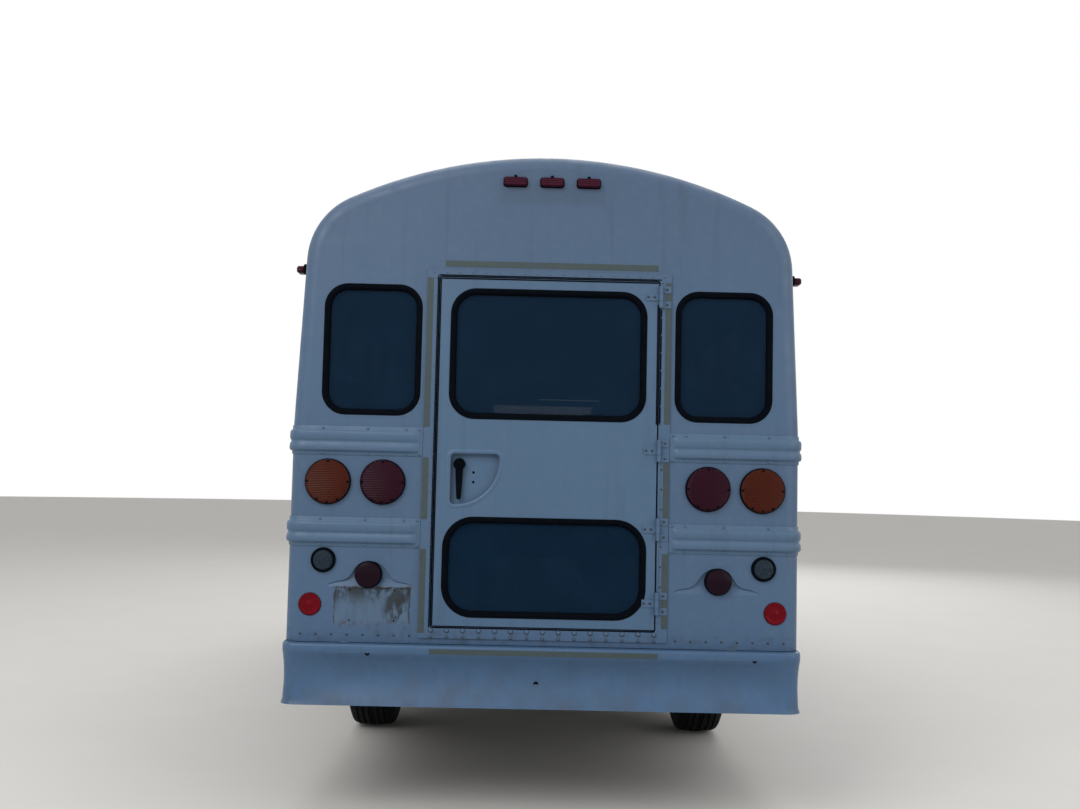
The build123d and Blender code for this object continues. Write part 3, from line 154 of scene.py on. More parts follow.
class Shader(Tree):
    """A material whose colour is built up in layers."""

    def __init__(self, name, colour, rough=0.5, metal=0.0):
        self.mat = bpy.data.materials.new(name)
        self.mat.use_nodes = True
        super().__init__(self.mat.node_tree)
        self.bsdf = self.tree.nodes["Principled BSDF"]
        self.set(Base_Color=colour, Roughness=rough, Metallic=metal)
        self.place = self.node("ShaderNodeTexCoord", out="Object")
        self.colour = colour

    def axes(self):
        return self.node("ShaderNodeSeparateXYZ", {0: self.place}).node.outputs

    def stretch(self, scale, shift=(0, 0, 0)):
        return self.node("ShaderNodeMapping",
                         {"Vector": self.place, "Scale": scale, "Location": shift})

    def noise(self, scale, detail=5.0, vector=None):
        return self.node("ShaderNodeTexNoise", {
            "Vector": vector or self.place, "Scale": scale, "Detail": detail}, "Fac")

    def spots(self, scale, low, high, share=1.0, detail=5.0, vector=None):
        """Noise as patches, from 0 at its value low to share at high."""
        return self.span(self.noise(scale, detail, vector), low, high, 0.0, share)

    def cells(self, scale, feature="F1"):
        return self.node("ShaderNodeTexVoronoi", {"Vector": self.place, "Scale": scale},
                         "Distance", feature=feature)

    def facing_in(self):
        """1 on faces that look towards the middle of the passenger space."""
        away = self.node("ShaderNodeVectorMath", {0: self.place, 1: (0, -1, 1.5)},
                         operation="SUBTRACT")
        normal = self.node("ShaderNodeTexCoord", out="Normal")
        dot = self.node("ShaderNodeVectorMath", {0: away, 1: normal}, "Value",
                        operation="DOT_PRODUCT")
        return self.span(dot, 0.0, -0.05)

    def tint(self, mask, colour):
        """Lays another colour over the present one where mask is 1."""
        self.colour = self.node("ShaderNodeMix", {0: mask, 6: self.colour, 7: colour}, 2,
                                data_type="RGBA")

    def bump(self, height, strength, distance=0.002):
        """Adds relief on top of any that is there."""
        socket = self.bsdf.inputs["Normal"]
        inputs = {"Strength": strength, "Distance": distance, "Height": height}
        if socket.links:
            inputs["Normal"] = socket.links[0].from_socket
        self.wire(self.node("ShaderNodeBump", inputs), socket)

    def roughen(self, scale, low, high):
        self.wire(self.span(self.noise(scale), 0.3, 0.7, low, high),
                  self.bsdf.inputs["Roughness"])

    def set(self, **sockets):
        for key, value in sockets.items():
            self.bsdf.inputs[key.replace("_", " ")].default_value = value
        return self

    def done(self):
        self.wire(self.colour, self.bsdf.inputs["Base Color"])
        return self.mat


# The body colour is the white enamel darkened and blued as it looks in shade: painted shade over
# the whole body.
SHADED_PAINT = srgb(68, 93, 121)
# Dark grey used for grime and for painted shadow.
GRIME_AND_SHADE = srgb(44, 48, 50)
INSIDE = srgb(150, 152, 146)
INSIDE_HALF, INSIDE_REAR = 0.984, -2.957


def paint(name, base=SHADED_PAINT, rough=0.42, inside=None, marks=None):
    """Old coach enamel in painted shade: broad fading, a painted sky reflection low down, painted
    shade towards the roof, runs of dirt, dust low down and small chips.
    """
    s = Shader(name, base, rough)
    x, y, z = s.axes()
    s.tint(s.spots(1.3, 0.35, 0.7, 0.35, 4.0), scaled(base, 0.82))
    # Bluer towards the bottom: painted reflection of the sky.
    s.tint(s.span(z, 0.5, 1.1, 0.32, 0.0), srgb(56, 92, 130))
    # Darker and greyer towards the roof: painted shade.
    s.tint(s.span(z, 1.9, 2.6, 0.0, 0.4), srgb(68, 84, 106))
    s.tint(s.spots(5.0, 0.56, 0.78, 0.22, 6.0, s.stretch((4.5, 4.5, 0.35))), GRIME_AND_SHADE)
    s.tint(s.spots(38.0, 0.5, 0.8, 0.16, 6.0), srgb(98, 112, 122))
    low = s.span(z, 0.42, 0.72, 0.5, 0.0)
    s.tint(s.mul(low, s.spots(9.0, 0.4, 0.75, detail=7.0)), srgb(52, 52, 48))
    s.tint(s.mul(s.span(s.cells(60.0), 0.09, 0.06), s.spots(3.1, 0.6, 0.68)), srgb(34, 26, 22))
    if marks:
        marks(s, x, z)
    if inside:
        s.tint(s.mul(s.facing_in(), s.between(x, -INSIDE_HALF, INSIDE_HALF, 0.002),
                     s.span(y, INSIDE_REAR, INSIDE_REAR + 0.007)), inside)
    s.roughen(14.0, rough - 0.07, rough + 0.15)
    s.bump(s.noise(3.2, 2.0), 0.25, 0.004)
    s.bump(s.noise(420.0, 2.0), 0.05, 0.0006)
    return s.set(Specular_IOR_Level=0.38).done()


def plate_mark(s, x, z):
    """The rusty outline and smears that a taken-off number plate left."""
    left, right, low, high = -0.836, -0.532, 0.763, 0.905
    wave = s.span(s.noise(24.0), 0.2, 0.8, -0.006, 0.006)
    across, up = s.calc("ADD", x, wave), s.calc("ADD", z, wave)
    area = s.mul(s.between(across, left, right, 0.004), s.between(up, low, high, 0.005))
    s.tint(s.mul(area, 0.18), srgb(98, 116, 128))
    blotch = s.noise(15.0, 9.0, s.stretch((1.5, 1.0, 0.8), (0.35, 0, 0.2)))
    ragged = s.noise(42.0, 6.0, s.stretch((1.3, 1.0, 0.55)))
    right_end = s.mul(s.between(across, -0.62, -0.556, 0.03), s.between(up, 0.79, 0.89, 0.03))
    weight = s.calc("MAXIMUM", s.span(up, 0.835, 0.885), right_end)
    for smear, start, full, share, colour in (
            (blotch, 0.44, 0.58, 0.9, srgb(12, 18, 28)),
            (ragged, 0.50, 0.62, 0.8, srgb(12, 14, 20))):
        s.tint(s.mul(s.span(smear, start, full, 0.0, share), area, weight), colour)
    s.tint(s.mul(s.span(blotch, 0.42, 0.66, 0.0, 0.35), area), srgb(52, 60, 66))
    rim = s.calc("MAXIMUM", s.span(s.off(up, high - 0.003), 0.007, 0.001),
                 s.span(s.off(s.off(across, (left + right) / 2), 0.149), 0.006, 0.001, 0.0, 0.7))
    s.tint(s.mul(rim, area, s.span(ragged, 0.38, 0.52)), srgb(18, 17, 20))
    foot = s.mul(s.between(z, 0.748, 0.764, 0.012), s.between(x, left, right, 0.01))
    s.tint(s.mul(foot, s.spots(60.0, 0.5, 0.7, 0.6)), srgb(64, 50, 44))


def rear_marks(s, x, z):
    """What the rear wall shows: the plate's mark, grime under the door, and a painted shadow under
    the top lamps.
    """
    plate_mark(s, x, z)
    s.tint(s.mul(s.between(z, 0.690, 0.735, 0.01), s.spots(22.0, 0.5, 0.7, 0.35)), GRIME_AND_SHADE)
    # A darker band just under the top lamps: painted shadow.
    s.tint(s.mul(s.between(z, 2.49, 2.54, 0.03), s.between(x, -0.20, 0.20, 0.03), 0.18), GRIME_AND_SHADE)


def plain(name, colour, rough=0.5, metal=0.0, grain=200.0, depth=0.15, vary=0.35, dirt=None,
          **sockets):
    """A surface with a fine grain, some broad variation of tone and a little dirt."""
    s = Shader(name, colour, rough, metal)
    s.tint(s.spots(6.0, 0.35, 0.7, vary), scaled(colour, 0.6))
    if dirt:
        s.tint(s.spots(16.0, 0.52, 0.75, 0.5, 7.0), dirt)
    s.roughen(30.0, max(rough - 0.1, 0.04), min(rough + 0.15, 1.0))
    s.bump(s.noise(grain, 3.0), depth, 0.001)
    return s.set(**sockets).done()


def tinted_glass(name, tint, film):
    """Safety glass as a thin dark film: alpha is the share of light that it holds back."""
    s = Shader(name, tint, 0.03)
    s.tint(s.spots(7.0, 0.45, 0.8, 0.3, 6.0), scaled(tint, 1.7))
    return s.set(Alpha=film, IOR=1.12).done()


def lens(name, colour, painted_glint, rough=0.25, ribs=0.0):
    """A moulded plastic lens: deep colour, prisms inside with painted glints, painted highlights on
    its ribs, and a few scuffs.
    """
    s = Shader(name, colour, rough)
    cell = s.cells(150.0)
    # Lighter prism cells: painted glints.
    s.tint(s.span(cell, 0.2, 0.7, 0.0, 0.35), painted_glint)
    if ribs:
        wave = s.calc("SINE", s.mul(s.axes()[2], ribs))
        # Lighter crests of the ribs: painted highlights.
        s.tint(s.span(wave, -0.2, 0.9, 0.0, 0.4), painted_glint)
        s.bump(wave, 0.5, 0.0015)
    s.tint(s.spots(11.0, 0.5, 0.8, 0.3, 6.0), scaled(colour, 0.5))
    s.bump(cell, 0.2, 0.001)
    return s.set(Specular_IOR_Level=0.09).done()


def make_tape():
    """Old reflective tape: yellow, shown olive by painted blue shade, with a fine honeycomb and
    dirty cracks.
    """
    # Olive base colour: the yellow tape in painted shade.
    s = Shader("reflective_tape", srgb(40, 56, 60), 0.5)
    comb = s.cells(500.0)
    s.tint(s.span(comb, 0.25, 0.6, 0.0, 0.3), srgb(68, 82, 76))
    s.tint(s.spots(10.0, 0.45, 0.75, 0.5, 6.0), srgb(44, 58, 66))
    s.tint(s.span(s.cells(26.0, "DISTANCE_TO_EDGE"), 0.02, 0.005, 0.0, 0.5), srgb(32, 38, 38))
    s.bump(comb, 0.2, 0.0005)
    return s.done()


def make_floor_cover():
    """Black ribbed floor rubber, dusty in its grooves."""
    s = Shader("floor_rubber", srgb(38, 39, 41), 0.75)
    ribs = s.calc("SINE", s.mul(s.axes()[0], 420.0))
    s.tint(s.span(ribs, -0.9, 0.0, 0.45, 0.0), srgb(72, 68, 62))
    s.tint(s.spots(4.0, 0.45, 0.75, 0.5, 6.0), srgb(60, 58, 54))
    s.bump(ribs, 0.5)
    return s.done()


# The enamel colours below are all white paint darkened and blued with painted shade; the bumper's
# is the darkest.
body_paint = paint("body_paint", inside=INSIDE)
rear_paint = paint("rear_paint", inside=INSIDE, marks=rear_marks)
door_paint = paint("door_paint", srgb(70, 97, 125))
trim_paint = paint("trim_paint", srgb(71, 97, 124))
bumper_paint = paint("bumper_paint", srgb(62, 90, 121), 0.36)
cab_paint = paint("cab_paint")
glass = tinted_glass("tinted_glass", srgb(14, 35, 54), 0.82)
clear_glass = tinted_glass("cab_glass", srgb(44, 56, 60), 0.34)
rubber = plain("seal_rubber", srgb(3, 7, 14), 0.75, grain=300.0, Specular_IOR_Level=0.04)
black_paint = plain("black_paint", srgb(22, 24, 28), 0.45, dirt=srgb(50, 46, 40))
chassis = plain("chassis_black", srgb(26, 27, 29), 0.65, 0.0, 120.0, 0.3, dirt=srgb(70, 58, 46))
iron = plain("cast_iron", srgb(52, 48, 46), 0.7, 0.4, 90.0, 0.5, dirt=srgb(84, 58, 40))
steel = plain("dull_steel", srgb(120, 118, 116), 0.4, 0.9, 160.0, 0.2, dirt=srgb(80, 66, 54))
chrome = plain("chrome", srgb(205, 208, 212), 0.12, 1.0, 400.0, 0.04, 0.15)
bolt_steel = plain("bolt_steel", srgb(60, 66, 74), 0.45, 0.6, 200.0, 0.2, dirt=srgb(50, 40, 34))
wheel_paint = plain("wheel_paint", srgb(34, 36, 40), 0.42, 0.2, 180.0, dirt=srgb(76, 68, 58))
tyre = plain("tyre_rubber", srgb(14, 16, 20), 0.82, 0.0, 260.0, 0.4, 0.3, srgb(44, 42, 40),
             Specular_IOR_Level=0.15)
# The rear lenses (turn, brake, stop, reflector, reverse and marker) are darkened and purpled as
# they look in shade: painted shade.
amber = lens("amber_lens", srgb(56, 18, 8), srgb(76, 28, 12), ribs=900.0)
red = lens("red_lens", srgb(34, 4, 19), srgb(48, 7, 27), ribs=900.0)
small_red = lens("small_red_lens", srgb(22, 6, 18), srgb(32, 10, 25))
reflector = lens("red_reflector", srgb(90, 2, 14), srgb(120, 8, 25), 0.2)
clear_lens = lens("clear_lens", srgb(38, 48, 56), srgb(78, 88, 96), 0.15)
head_lens = lens("head_lens", srgb(134, 142, 148), srgb(196, 202, 206), 0.1)
dim_lens = lens("dim_lens", srgb(25, 36, 46), srgb(52, 66, 78), 0.15)
marker_red = lens("marker_lens", srgb(50, 14, 30), srgb(70, 25, 44), ribs=700.0)
marker_amber = lens("marker_amber", srgb(190, 92, 20), srgb(220, 120, 40), ribs=700.0)
vinyl = plain("seat_vinyl", srgb(34, 42, 58), 0.5, 0.0, 500.0, 0.5, 0.3, Sheen_Weight=0.15)
piping_vinyl = plain("piping_vinyl", srgb(20, 25, 36), 0.45, grain=300.0)
dash = plain("dash_plastic", srgb(58, 60, 62), 0.62, 0.0, 500.0, 0.5)
plastic = plain("black_plastic", srgb(12, 14, 18), 0.5, 0.0, 420.0, 0.35, Specular_IOR_Level=0.15)
sash = plain("black_sash", srgb(24, 26, 30), 0.35, 0.5, 220.0, 0.1, dirt=srgb(70, 72, 70))
silver = plain("mirror_silver", srgb(190, 198, 204), 0.04, 1.0, 300.0, 0.0, 0.1)
dial_face = plain("gauge_face", srgb(200, 198, 186), 0.5, 0.0, 100.0, 0.05)
tape = make_tape()
floor_cover = make_floor_cover()

for names, material in (
        ("side_wall_left side_wall_right roof front_cap", body_paint),
        ("rear_wall", rear_paint),
        ("emergency_door entry_leaf_front entry_leaf_rear", door_paint),
        ("rub_rails", trim_paint),
        ("rear_bumper", bumper_paint),
        ("cab_shell hood driver_door", cab_paint),
        ("front_bumper", chrome),
        ("frame_rails springs fuel_tank", chassis),
        ("front_axle rear_axle drive_shaft engine knuckle_left knuckle_right", iron),
        ("exhaust", steel),
        ("floor cab_floor wheel_houses entry_steps", floor_cover),
        ("window_glass emergency_glass entry_glass_front entry_glass_rear", glass),
        ("windshield quarter_glass driver_glass", clear_glass),
        ("window_sashes", sash),
        ("grille mirrors steering_wheel door_handle", plastic),
        ("headlamps", head_lens),
        ("reverse_lamps", dim_lens),
        ("red_lamps", red),
        ("amber_lamps", amber),
        ("dashboard", dash),
        ("seats_left seats_right driver_seat", vinyl),
        ("seat_frames", black_paint),
        ("front_wheel_left front_wheel_right rear_wheel_left rear_wheel_right", wheel_paint),
        ("front_tyre_left front_tyre_right rear_tyre_left rear_tyre_right", tyre)):
    for name in names.split():
        slots = nodes[name].data.materials
        slots.clear()
        slots.append(material)


# Mesh tools
def turns(count, start=0.0):
    """The angles of even steps round a full turn."""
    return [2 * math.pi * (i + start) / count for i in range(count)]


def neighbours(path, closed):
    """Each point of a path between the ones before and after it; open ends use themselves."""
    path = [Vector(p) for p in path]
    first, last = (path[-1:], path[:1]) if closed else (path[:1], path[-1:])
    return list(zip(first + path[:-1], path, path[1:] + last))


def bands(count, wide, closed=False, shift=0):
    """Faces between count loops of wide points: capped if open, else joined with a shift."""
    faces = [] if closed else [tuple(range(wide))[::-1],
                               tuple(range((count - 1) * wide, count * wide))]
    for i in range(count if closed else count - 1):
        j, turn = (i + 1, 0) if i + 1 < count else (0, shift)
        for k in range(wide):
            m = (k + 1) % wide
            faces.append((i * wide + k, i * wide + m,
                          j * wide + (m + turn) % wide, j * wide + (k + turn) % wide))
    return faces


class Kit:
    """Shapes gathered into one mesh, in the frame's own metres."""

    def __init__(self):
        self.verts, self.faces = [], []

    def add(self, verts, faces):
        base = len(self.verts)
        self.verts += [tuple(v) for v in verts]
        self.faces += [tuple(base + i for i in f) for f in faces]
        return self

    def lathe(self, profile, centre, axis, segments=32):
        """Turns (radius, height) points about an axis through centre."""
        axis, centre = Vector(axis).normalized(), Vector(centre)
        u = axis.orthogonal().normalized()
        v = axis.cross(u)
        verts, rings, faces = [], [], []
        for r, h in profile:
            count = segments if r else 1
            rings.append((len(verts), count))
            verts += [centre + axis * h + (u * math.cos(a) + v * math.sin(a)) * r
                      for a in turns(segments)[:count]]
        for (a, na), (b, nb) in zip(rings, rings[1:]):
            for i in range(segments):
                corners = (a + (i + 1) % na, b + (i + 1) % nb, b + i % nb, a + i % na)
                faces.append(tuple(dict.fromkeys(corners)))
        return self.add(verts, faces)

    def sweep(self, path, profile, normal, closed=True):
        """Carries (across, up the normal) points along a flat path; across is to its right."""
        n = Vector(normal).normalized()
        verts = []
        for before, p, after in neighbours(path, closed):
            a = ((p if before != p else after) - before).normalized()
            b = (after - p).normalized() if after != p else a
            out = (a + b).normalized().cross(n)
            grow = 1 / max(out.dot(a.cross(n)), 0.4)
            verts += [p + out * across * grow + n * up for across, up in profile]
        return self.add(verts, bands(len(path), len(profile), closed))

    def box(self, low, high, bevel=0.0, segments=2):
        """A box between two corners with rounded edges."""
        bm = bmesh.new()
        bmesh.ops.create_cube(bm, size=1)
        size = [h - l for l, h in zip(low, high)]
        for v in bm.verts:
            v.co = Vector([l + (c + 0.5) * s for l, c, s in zip(low, v.co, size)])
        bmesh.ops.bevel(bm, geom=bm.edges, offset=min(bevel, min(size) * 0.49),
                        segments=segments, affect="EDGES", profile=0.5)
        bm.verts.index_update()
        self.add([v.co for v in bm.verts], [[v.index for v in f.verts] for f in bm.faces])
        bm.free()
        return self

    def slab(self, outline, plane, low, high, bevel=0.0):
        """A closed outline given depth along the third axis, its top edge chamfered."""
        outline = [Vector(p) for p in outline]
        middle = sum(outline, Vector((0, 0))) / len(outline)
        rims = [(0, low), (0, high - bevel)] + [(bevel, high)] * bool(bevel)
        verts = []
        for inset, depth in rims:
            for p in outline:
                q = p - (p - middle).normalized() * inset
                verts.append(plane(q.x, q.y, depth))
        return self.add(verts, bands(len(rims), len(outline)))

    def mesh(self, name):
        made = bpy.data.meshes.new(name)
        made.from_pydata(self.verts, [], self.faces)
        return made

    def make(self, name, material, body="coach", slot="body_paint", sharp=35.0):
        """Puts the shapes into the scene as one piece that rides on a body."""
        mesh = self.mesh(name)
        bm = bmesh.new()
        bm.from_mesh(mesh)
        bmesh.ops.recalc_face_normals(bm, faces=bm.faces)
        bm.to_mesh(mesh)
        bm.free()
        mesh.shade_smooth()
        mesh.set_sharp_from_angle(angle=math.radians(sharp))
        mesh.materials.append(material)
        obj = link(name, mesh)
        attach(obj, body)
        return obj


def arc(a, b, radius, start, count):
    """Points of a quarter turn about (a, b), from start degrees on."""
    angles = [math.radians(start + 90 * i / count) for i in range(count + 1)]
    return [(a + radius * math.cos(t), b + radius * math.sin(t)) for t in angles]


def round_rect(low_a, high_a, low_b, high_b, radius, steps=8):
    """A round-cornered rectangle as points, anticlockwise."""
    left, right, foot, top = low_a + radius, high_a - radius, low_b + radius, high_b - radius
    return (arc(right, foot, radius, -90, steps) + arc(right, top, radius, 0, steps)
            + arc(left, top, radius, 90, steps) + arc(left, foot, radius, 180, steps))


def rear_path(y, *corners):
    """A round-cornered rectangle on a plane across the bus."""
    return [(a, y, b) for a, b in round_rect(*corners)]


def rear_plane(y):
    """Places (across, up, out) on the rear wall: out runs to the rear."""
    return lambda a, b, c: (a, y - c, b)


def strip(kit, low_a, high_a, low_b, high_b, y, corner=0.003, top=0.0009):
    """A thin strip that lies on a rear face."""
    kit.slab(round_rect(low_a, high_a, low_b, high_b, corner, 2), rear_plane(y), -0.0004, top)


def heads(kit, points, normal, radius, segments=8,
          shape=((1.0, 0.0), (0.96, 0.25), (0.75, 0.5), (0.4, 0.66), (0.0, 0.72))):
    """Rivet or bolt heads at points."""
    for p in points:
        kit.lathe([(r * radius, h * radius) for r, h in shape], p, normal, segments)


def steps_between(low, high, pitch):
    """Even places from low to high, about pitch apart."""
    count = max(1, round((high - low) / pitch))
    return [low + (high - low) * i / count for i in range(count + 1)]


def tube(kit, path, radius, segments=8, closed=False):
    """A round bar along points, capped at both ends or running round to its start."""
    points, verts = neighbours(path, closed), []
    side = (points[0][2] - points[0][1]).orthogonal().normalized()
    for before, p, after in points:
        along = (after - before).normalized()
        side = (side - along * side.dot(along)).normalized()
        other = along.cross(side)
        verts += [p + (side * math.cos(a) + other * math.sin(a)) * radius for a in turns(segments)]
    shift = 0
    if closed:
        shift = min(range(segments), key=lambda q: (verts[q] - verts[-segments]).length)
    kit.add(verts, bands(len(points), segments, closed, shift))


def dense(loop):
    """A closed loop with extra points, 3 to 6 cm apart, along its longer stretches."""
    out = []
    for p, q in zip(map(Vector, loop), map(Vector, loop[1:] + loop[:1])):
        parts = max(1, int((q - p).length / 0.03))
        out += [p.lerp(q, k / parts) for k in range(parts)]
    return out


# Camera at the photograph's place, then plain soft studio light
camera = link("camera", bpy.data.cameras.new("camera"))
scene.camera = camera
yaw, pitch, roll = 0.0095, 0.0649, 0.0227
forward = Vector((math.sin(yaw) * math.cos(pitch), math.cos(yaw) * math.cos(pitch),
                  math.sin(pitch)))
level = Vector((math.cos(yaw), -math.sin(yaw), 0))
above = level.cross(forward)
right = level * math.cos(roll) + above * math.sin(roll)
up = above * math.cos(roll) - level * math.sin(roll)
camera.matrix_world = Matrix((
    (right.x, up.x, -forward.x, -0.0719), (right.y, up.y, -forward.y, -7.4296),
    (right.z, up.z, -forward.z, 1.3635), (0, 0, 0, 1)))
camera.data.sensor_width = 36
camera.data.lens = 36 * 1100 / 1080
camera.data.clip_end = 200

world = bpy.data.worlds.new("studio")
scene.world = world
world.use_nodes = True
studio = Tree(world.node_tree)
ray = studio.node("ShaderNodeLightPath").node.outputs
seen = studio.calc("MAXIMUM", ray["Is Camera Ray"],
                   studio.calc("MAXIMUM", ray["Is Glossy Ray"], ray["Is Transmission Ray"]))
backdrop = world.node_tree.nodes["Background"].inputs
backdrop["Color"].default_value = (1, 1, 1, 1)
studio.wire(studio.span(seen, 0.0, 1.0, 0.62, 1.0), backdrop["Strength"])

for name, place, size, power in (
        ("key", (-4.5, -8.5, 6.5), 5.0, 370), ("fill", (6.0, -7.0, 4.0), 6.0, 150),
        ("front", (3.0, 9.0, 6.0), 6.0, 300), ("top", (0.0, 0.0, 8.0), 7.0, 200)):
    lamp = link(name, bpy.data.lights.new(name, "AREA"))
    lamp.data.size = size
    lamp.data.energy = power
    lamp.location = place
    lamp.rotation_euler = (Vector((0, 0, 1.2)) - Vector(place)).to_track_quat("-Z", "Y").to_euler()

ground = link("ground", Kit().lathe([(45, 0), (0, 0)], (0, 0, 0), UP, 96).mesh("ground"))
pale = Shader("pale_floor", srgb(206, 204, 200), 0.9)
pale.tint(pale.spots(1.5, 0.3, 0.8, 0.3), srgb(196, 194, 190))
ground.data.materials.append(pale.done())
ground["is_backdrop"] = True
scene.view_settings.view_transform = "Standard"

# Rear windows: rubber channels, and painted lips round the two in the wall
SEAL = [(0.003, 0.013), (0.022, 0.013), (0.020, 0.003), (0.015, -0.002), (0.007, -0.004),
        (-0.001, -0.0035), (-0.004, -0.002), (-0.004, 0.0), (0.003, 0.001)]
LIP = [(-0.011, 0.0005), (-0.011, -0.001), (-0.001, -0.001), (0.0, 0.0), (0.0, 0.010),
       (-0.002, 0.010), (-0.002, 0.0005)]
kit, lips = Kit(), Kit()
for side in BOTH:
    path = rear_path(REAR, *mirrored(side, 0.518, 0.908), 1.597, 2.124, 0.091, 10)
    kit.sweep(path, SEAL, FORE)
    lips.sweep(path, LIP, FORE)
kit.make("tail_window_seals", rubber, slot="sash")
lips.make("tail_window_lips", rear_paint)
kit = Kit()
kit.sweep(rear_path(DOOR_FACE, -0.395, 0.395, 1.591, 2.115, 0.100, 10), SEAL, FORE)
kit.sweep(rear_path(DOOR_FACE, -0.405, 0.405, 0.798, 1.191, 0.120, 10), SEAL, FORE)
kit.make("door_window_seals", rubber, "emergency_door", "sash")

# Reflective tape over the door, down both its sides and on the bumper
kit = Kit()
strip(kit, -0.426, 0.442, 2.2065, 2.2315, REAR)
for side, spans in ((-1, ((1.551, 2.159), (1.181, 1.428), (0.730, 1.062))),
                    (1, ((1.582, 2.159), (1.181, 1.428), (0.765, 1.062)))):
    for low, high in spans:
        strip(kit, *mirrored(side, 0.4725, 0.4965), low, high, DOOR_FACE)
strip(kit, -0.445, 0.455, 0.6550, 0.6755, BUMPER)
kit.make("reflective_tape", tape)


# Rivets and screws of the rear wall
def door_row(z, reach=0.445, pitch=0.064):
    """Places in a row across the door's frame."""
    return [(x, DOOR_FACE, z) for x in steps_between(-reach, reach, pitch)]


RIVET_Z, SCREW_Z = 0.716, 0.741
kit = Kit()
for side in BOTH:
    heads(kit, [(side * x, REAR - 0.004, z) for z in RAIL_RIVETS
                for x in (0.512, 0.565, 0.72, 0.90)], BACK, 0.006)
    heads(kit, [(side * 0.4585, DOOR_FACE, z) for z in steps_between(0.79, 2.16, 0.072)],
          BACK, 0.0042)
heads(kit, door_row(2.183, 0.47, 0.053) + door_row(RIVET_Z), BACK, 0.0042)
kit.make("rear_rivets", trim_paint)
# Dark rivet heads low on the wall and dark rings round the door's screws and rivets: painted
# shadow.
kit = Kit()
for side in BOTH:
    heads(kit, [(side * x, REAR, 0.717) for x in steps_between(0.530, 0.965, 0.064)], BACK, 0.0048)
for screw, rivet in zip(door_row(SCREW_Z), door_row(RIVET_Z)):
    kit.lathe([(0.0105, 0), (0.0105, 0.0008), (0.0085, 0.0012)], screw, BACK, 14)
    kit.lathe([(0.0070, 0), (0.0070, 0.0006), (0.0050, 0.0009)], rivet, BACK, 10)
kit.make("rivet_shadows", bolt_steel)
kit = Kit()
heads(kit, door_row(SCREW_Z), BACK, 0.0075, 10,
      [(1, 0), (1, 0.35), (0.7, 0.45), (0.68, 0.8), (0.45, 0.95), (0, 0.95)])
kit.make("sill_screws", trim_paint)


# Rub rails and rear bumper as formed sheet, swept round the tail
def skin(kit, stations, profile_at):
    """Sweeps a changing (outward, height) profile along stations of (place, outward way)."""
    rings = [[(x + a * u, y + a * v, h) for a, h in profile_at(i)]
             for i, ((x, y), (u, v)) in enumerate(stations)]
    kit.add([p for r in rings for p in r], bands(len(rings), len(rings[0])))


def side_stations(side, x, places):
    return [((side * x, y), (side, 0)) for y in places]


def corner_path(reach, rear, radius, front, inner, side):
    """Stations from a side's front end round one rear corner to a place near the middle."""
    out = side_stations(side, reach, steps_between(rear + radius, front, 0.25)[::-1])
    for i in range(1, 13):
        c, s = math.cos(math.radians(7.5 * i)), math.sin(math.radians(7.5 * i))
        out.append(((side * (reach - radius + radius * c), rear + radius - radius * s),
                    (side * c, -s)))
    return out + [((side * x, rear), BACK[:2]) for x in inner]


def rail_profile(low, high, share):
    """A belt rail's formed section; share 1 is full height, 0 leaves its flat flange."""
    points = [(-0.002, low), (0.003, low), (0.004, low + 0.002), (0.0042, low + 0.013)]
    ridge = [(0.006, 0.0145), (0.0125, 0.0175), (0.0145, 0.022), (0.0150, 0.031),
             (0.0143, 0.040), (0.0120, 0.046), (0.0088, 0.0510), (0.0088, 0.0560),
             (0.0118, 0.0605), (0.0140, 0.0650), (0.0145, 0.0850), (0.0135, 0.0900),
             (0.0120, 0.0955), (0.0060, 0.0990)]
    points += [(0.004 + (a - 0.004) * share, low + up) for a, up in ridge]
    return points + [(0.0042, high - 0.0125), (0.004, high - 0.002), (0.003, high), (-0.002, high)]


LOW_RAIL = [(-0.002, 0.640), (0.004, 0.642), (0.012, 0.650), (0.014, 0.658),
            (0.014, 0.672), (0.012, 0.680), (0.004, 0.688), (-0.002, 0.690)]
RAIL_X = [0.9, 0.8, 0.7, 0.6, 0.545, 0.538, 0.530, 0.522, 0.516, 0.512, 0.4985]
RAIL_SHARES = [1.0] * 6 + [0.92, 0.62, 0.2, 0.0, 0.0]
kit = Kit()
for side, front in RAIL_END.items():
    path = corner_path(HALF, REAR, 0.060, front, RAIL_X, side)
    shares = [1.0] * (len(path) - len(RAIL_X)) + RAIL_SHARES
    for low, high in BELT_RAILS:
        skin(kit, path, lambda i: rail_profile(low, high, shares[i]))
    for a, b in ((-2.868, -1.705), (-0.915, front)):
        skin(kit, side_stations(side, HALF, steps_between(a, b, 0.3)), lambda i: LOW_RAIL)
rails = kit.make("rail_sheet", trim_paint, sharp=50)
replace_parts(rails, "rub_rails")


def bumper_profile(x):
    """Front and back of the bumper's section at x, as (outward, height).

    It has a rolled lip, a hollow face that is shallower at the ends, and a foot.
    """
    hollow = 0.006 + 0.024 * min(1, max(0, (0.985 - abs(x)) / 0.16)) ** 0.7
    face = [(-0.006, 0.687), (-0.002, 0.6845), (0.0, 0.679), (0.0, 0.655), (-0.0008, 0.652)]
    for i in range(1, 12):
        t = i / 12
        bow = math.sin(math.pi * t ** 0.9)
        face.append((-0.001 - 0.005 * t - hollow * bow, 0.652 - 0.186 * t))
    face += [(-0.006, 0.466), (-0.003, 0.458), (0.0, 0.450)]
    return face, [(a - 0.006, h) for a, h in reversed(face[1:])]


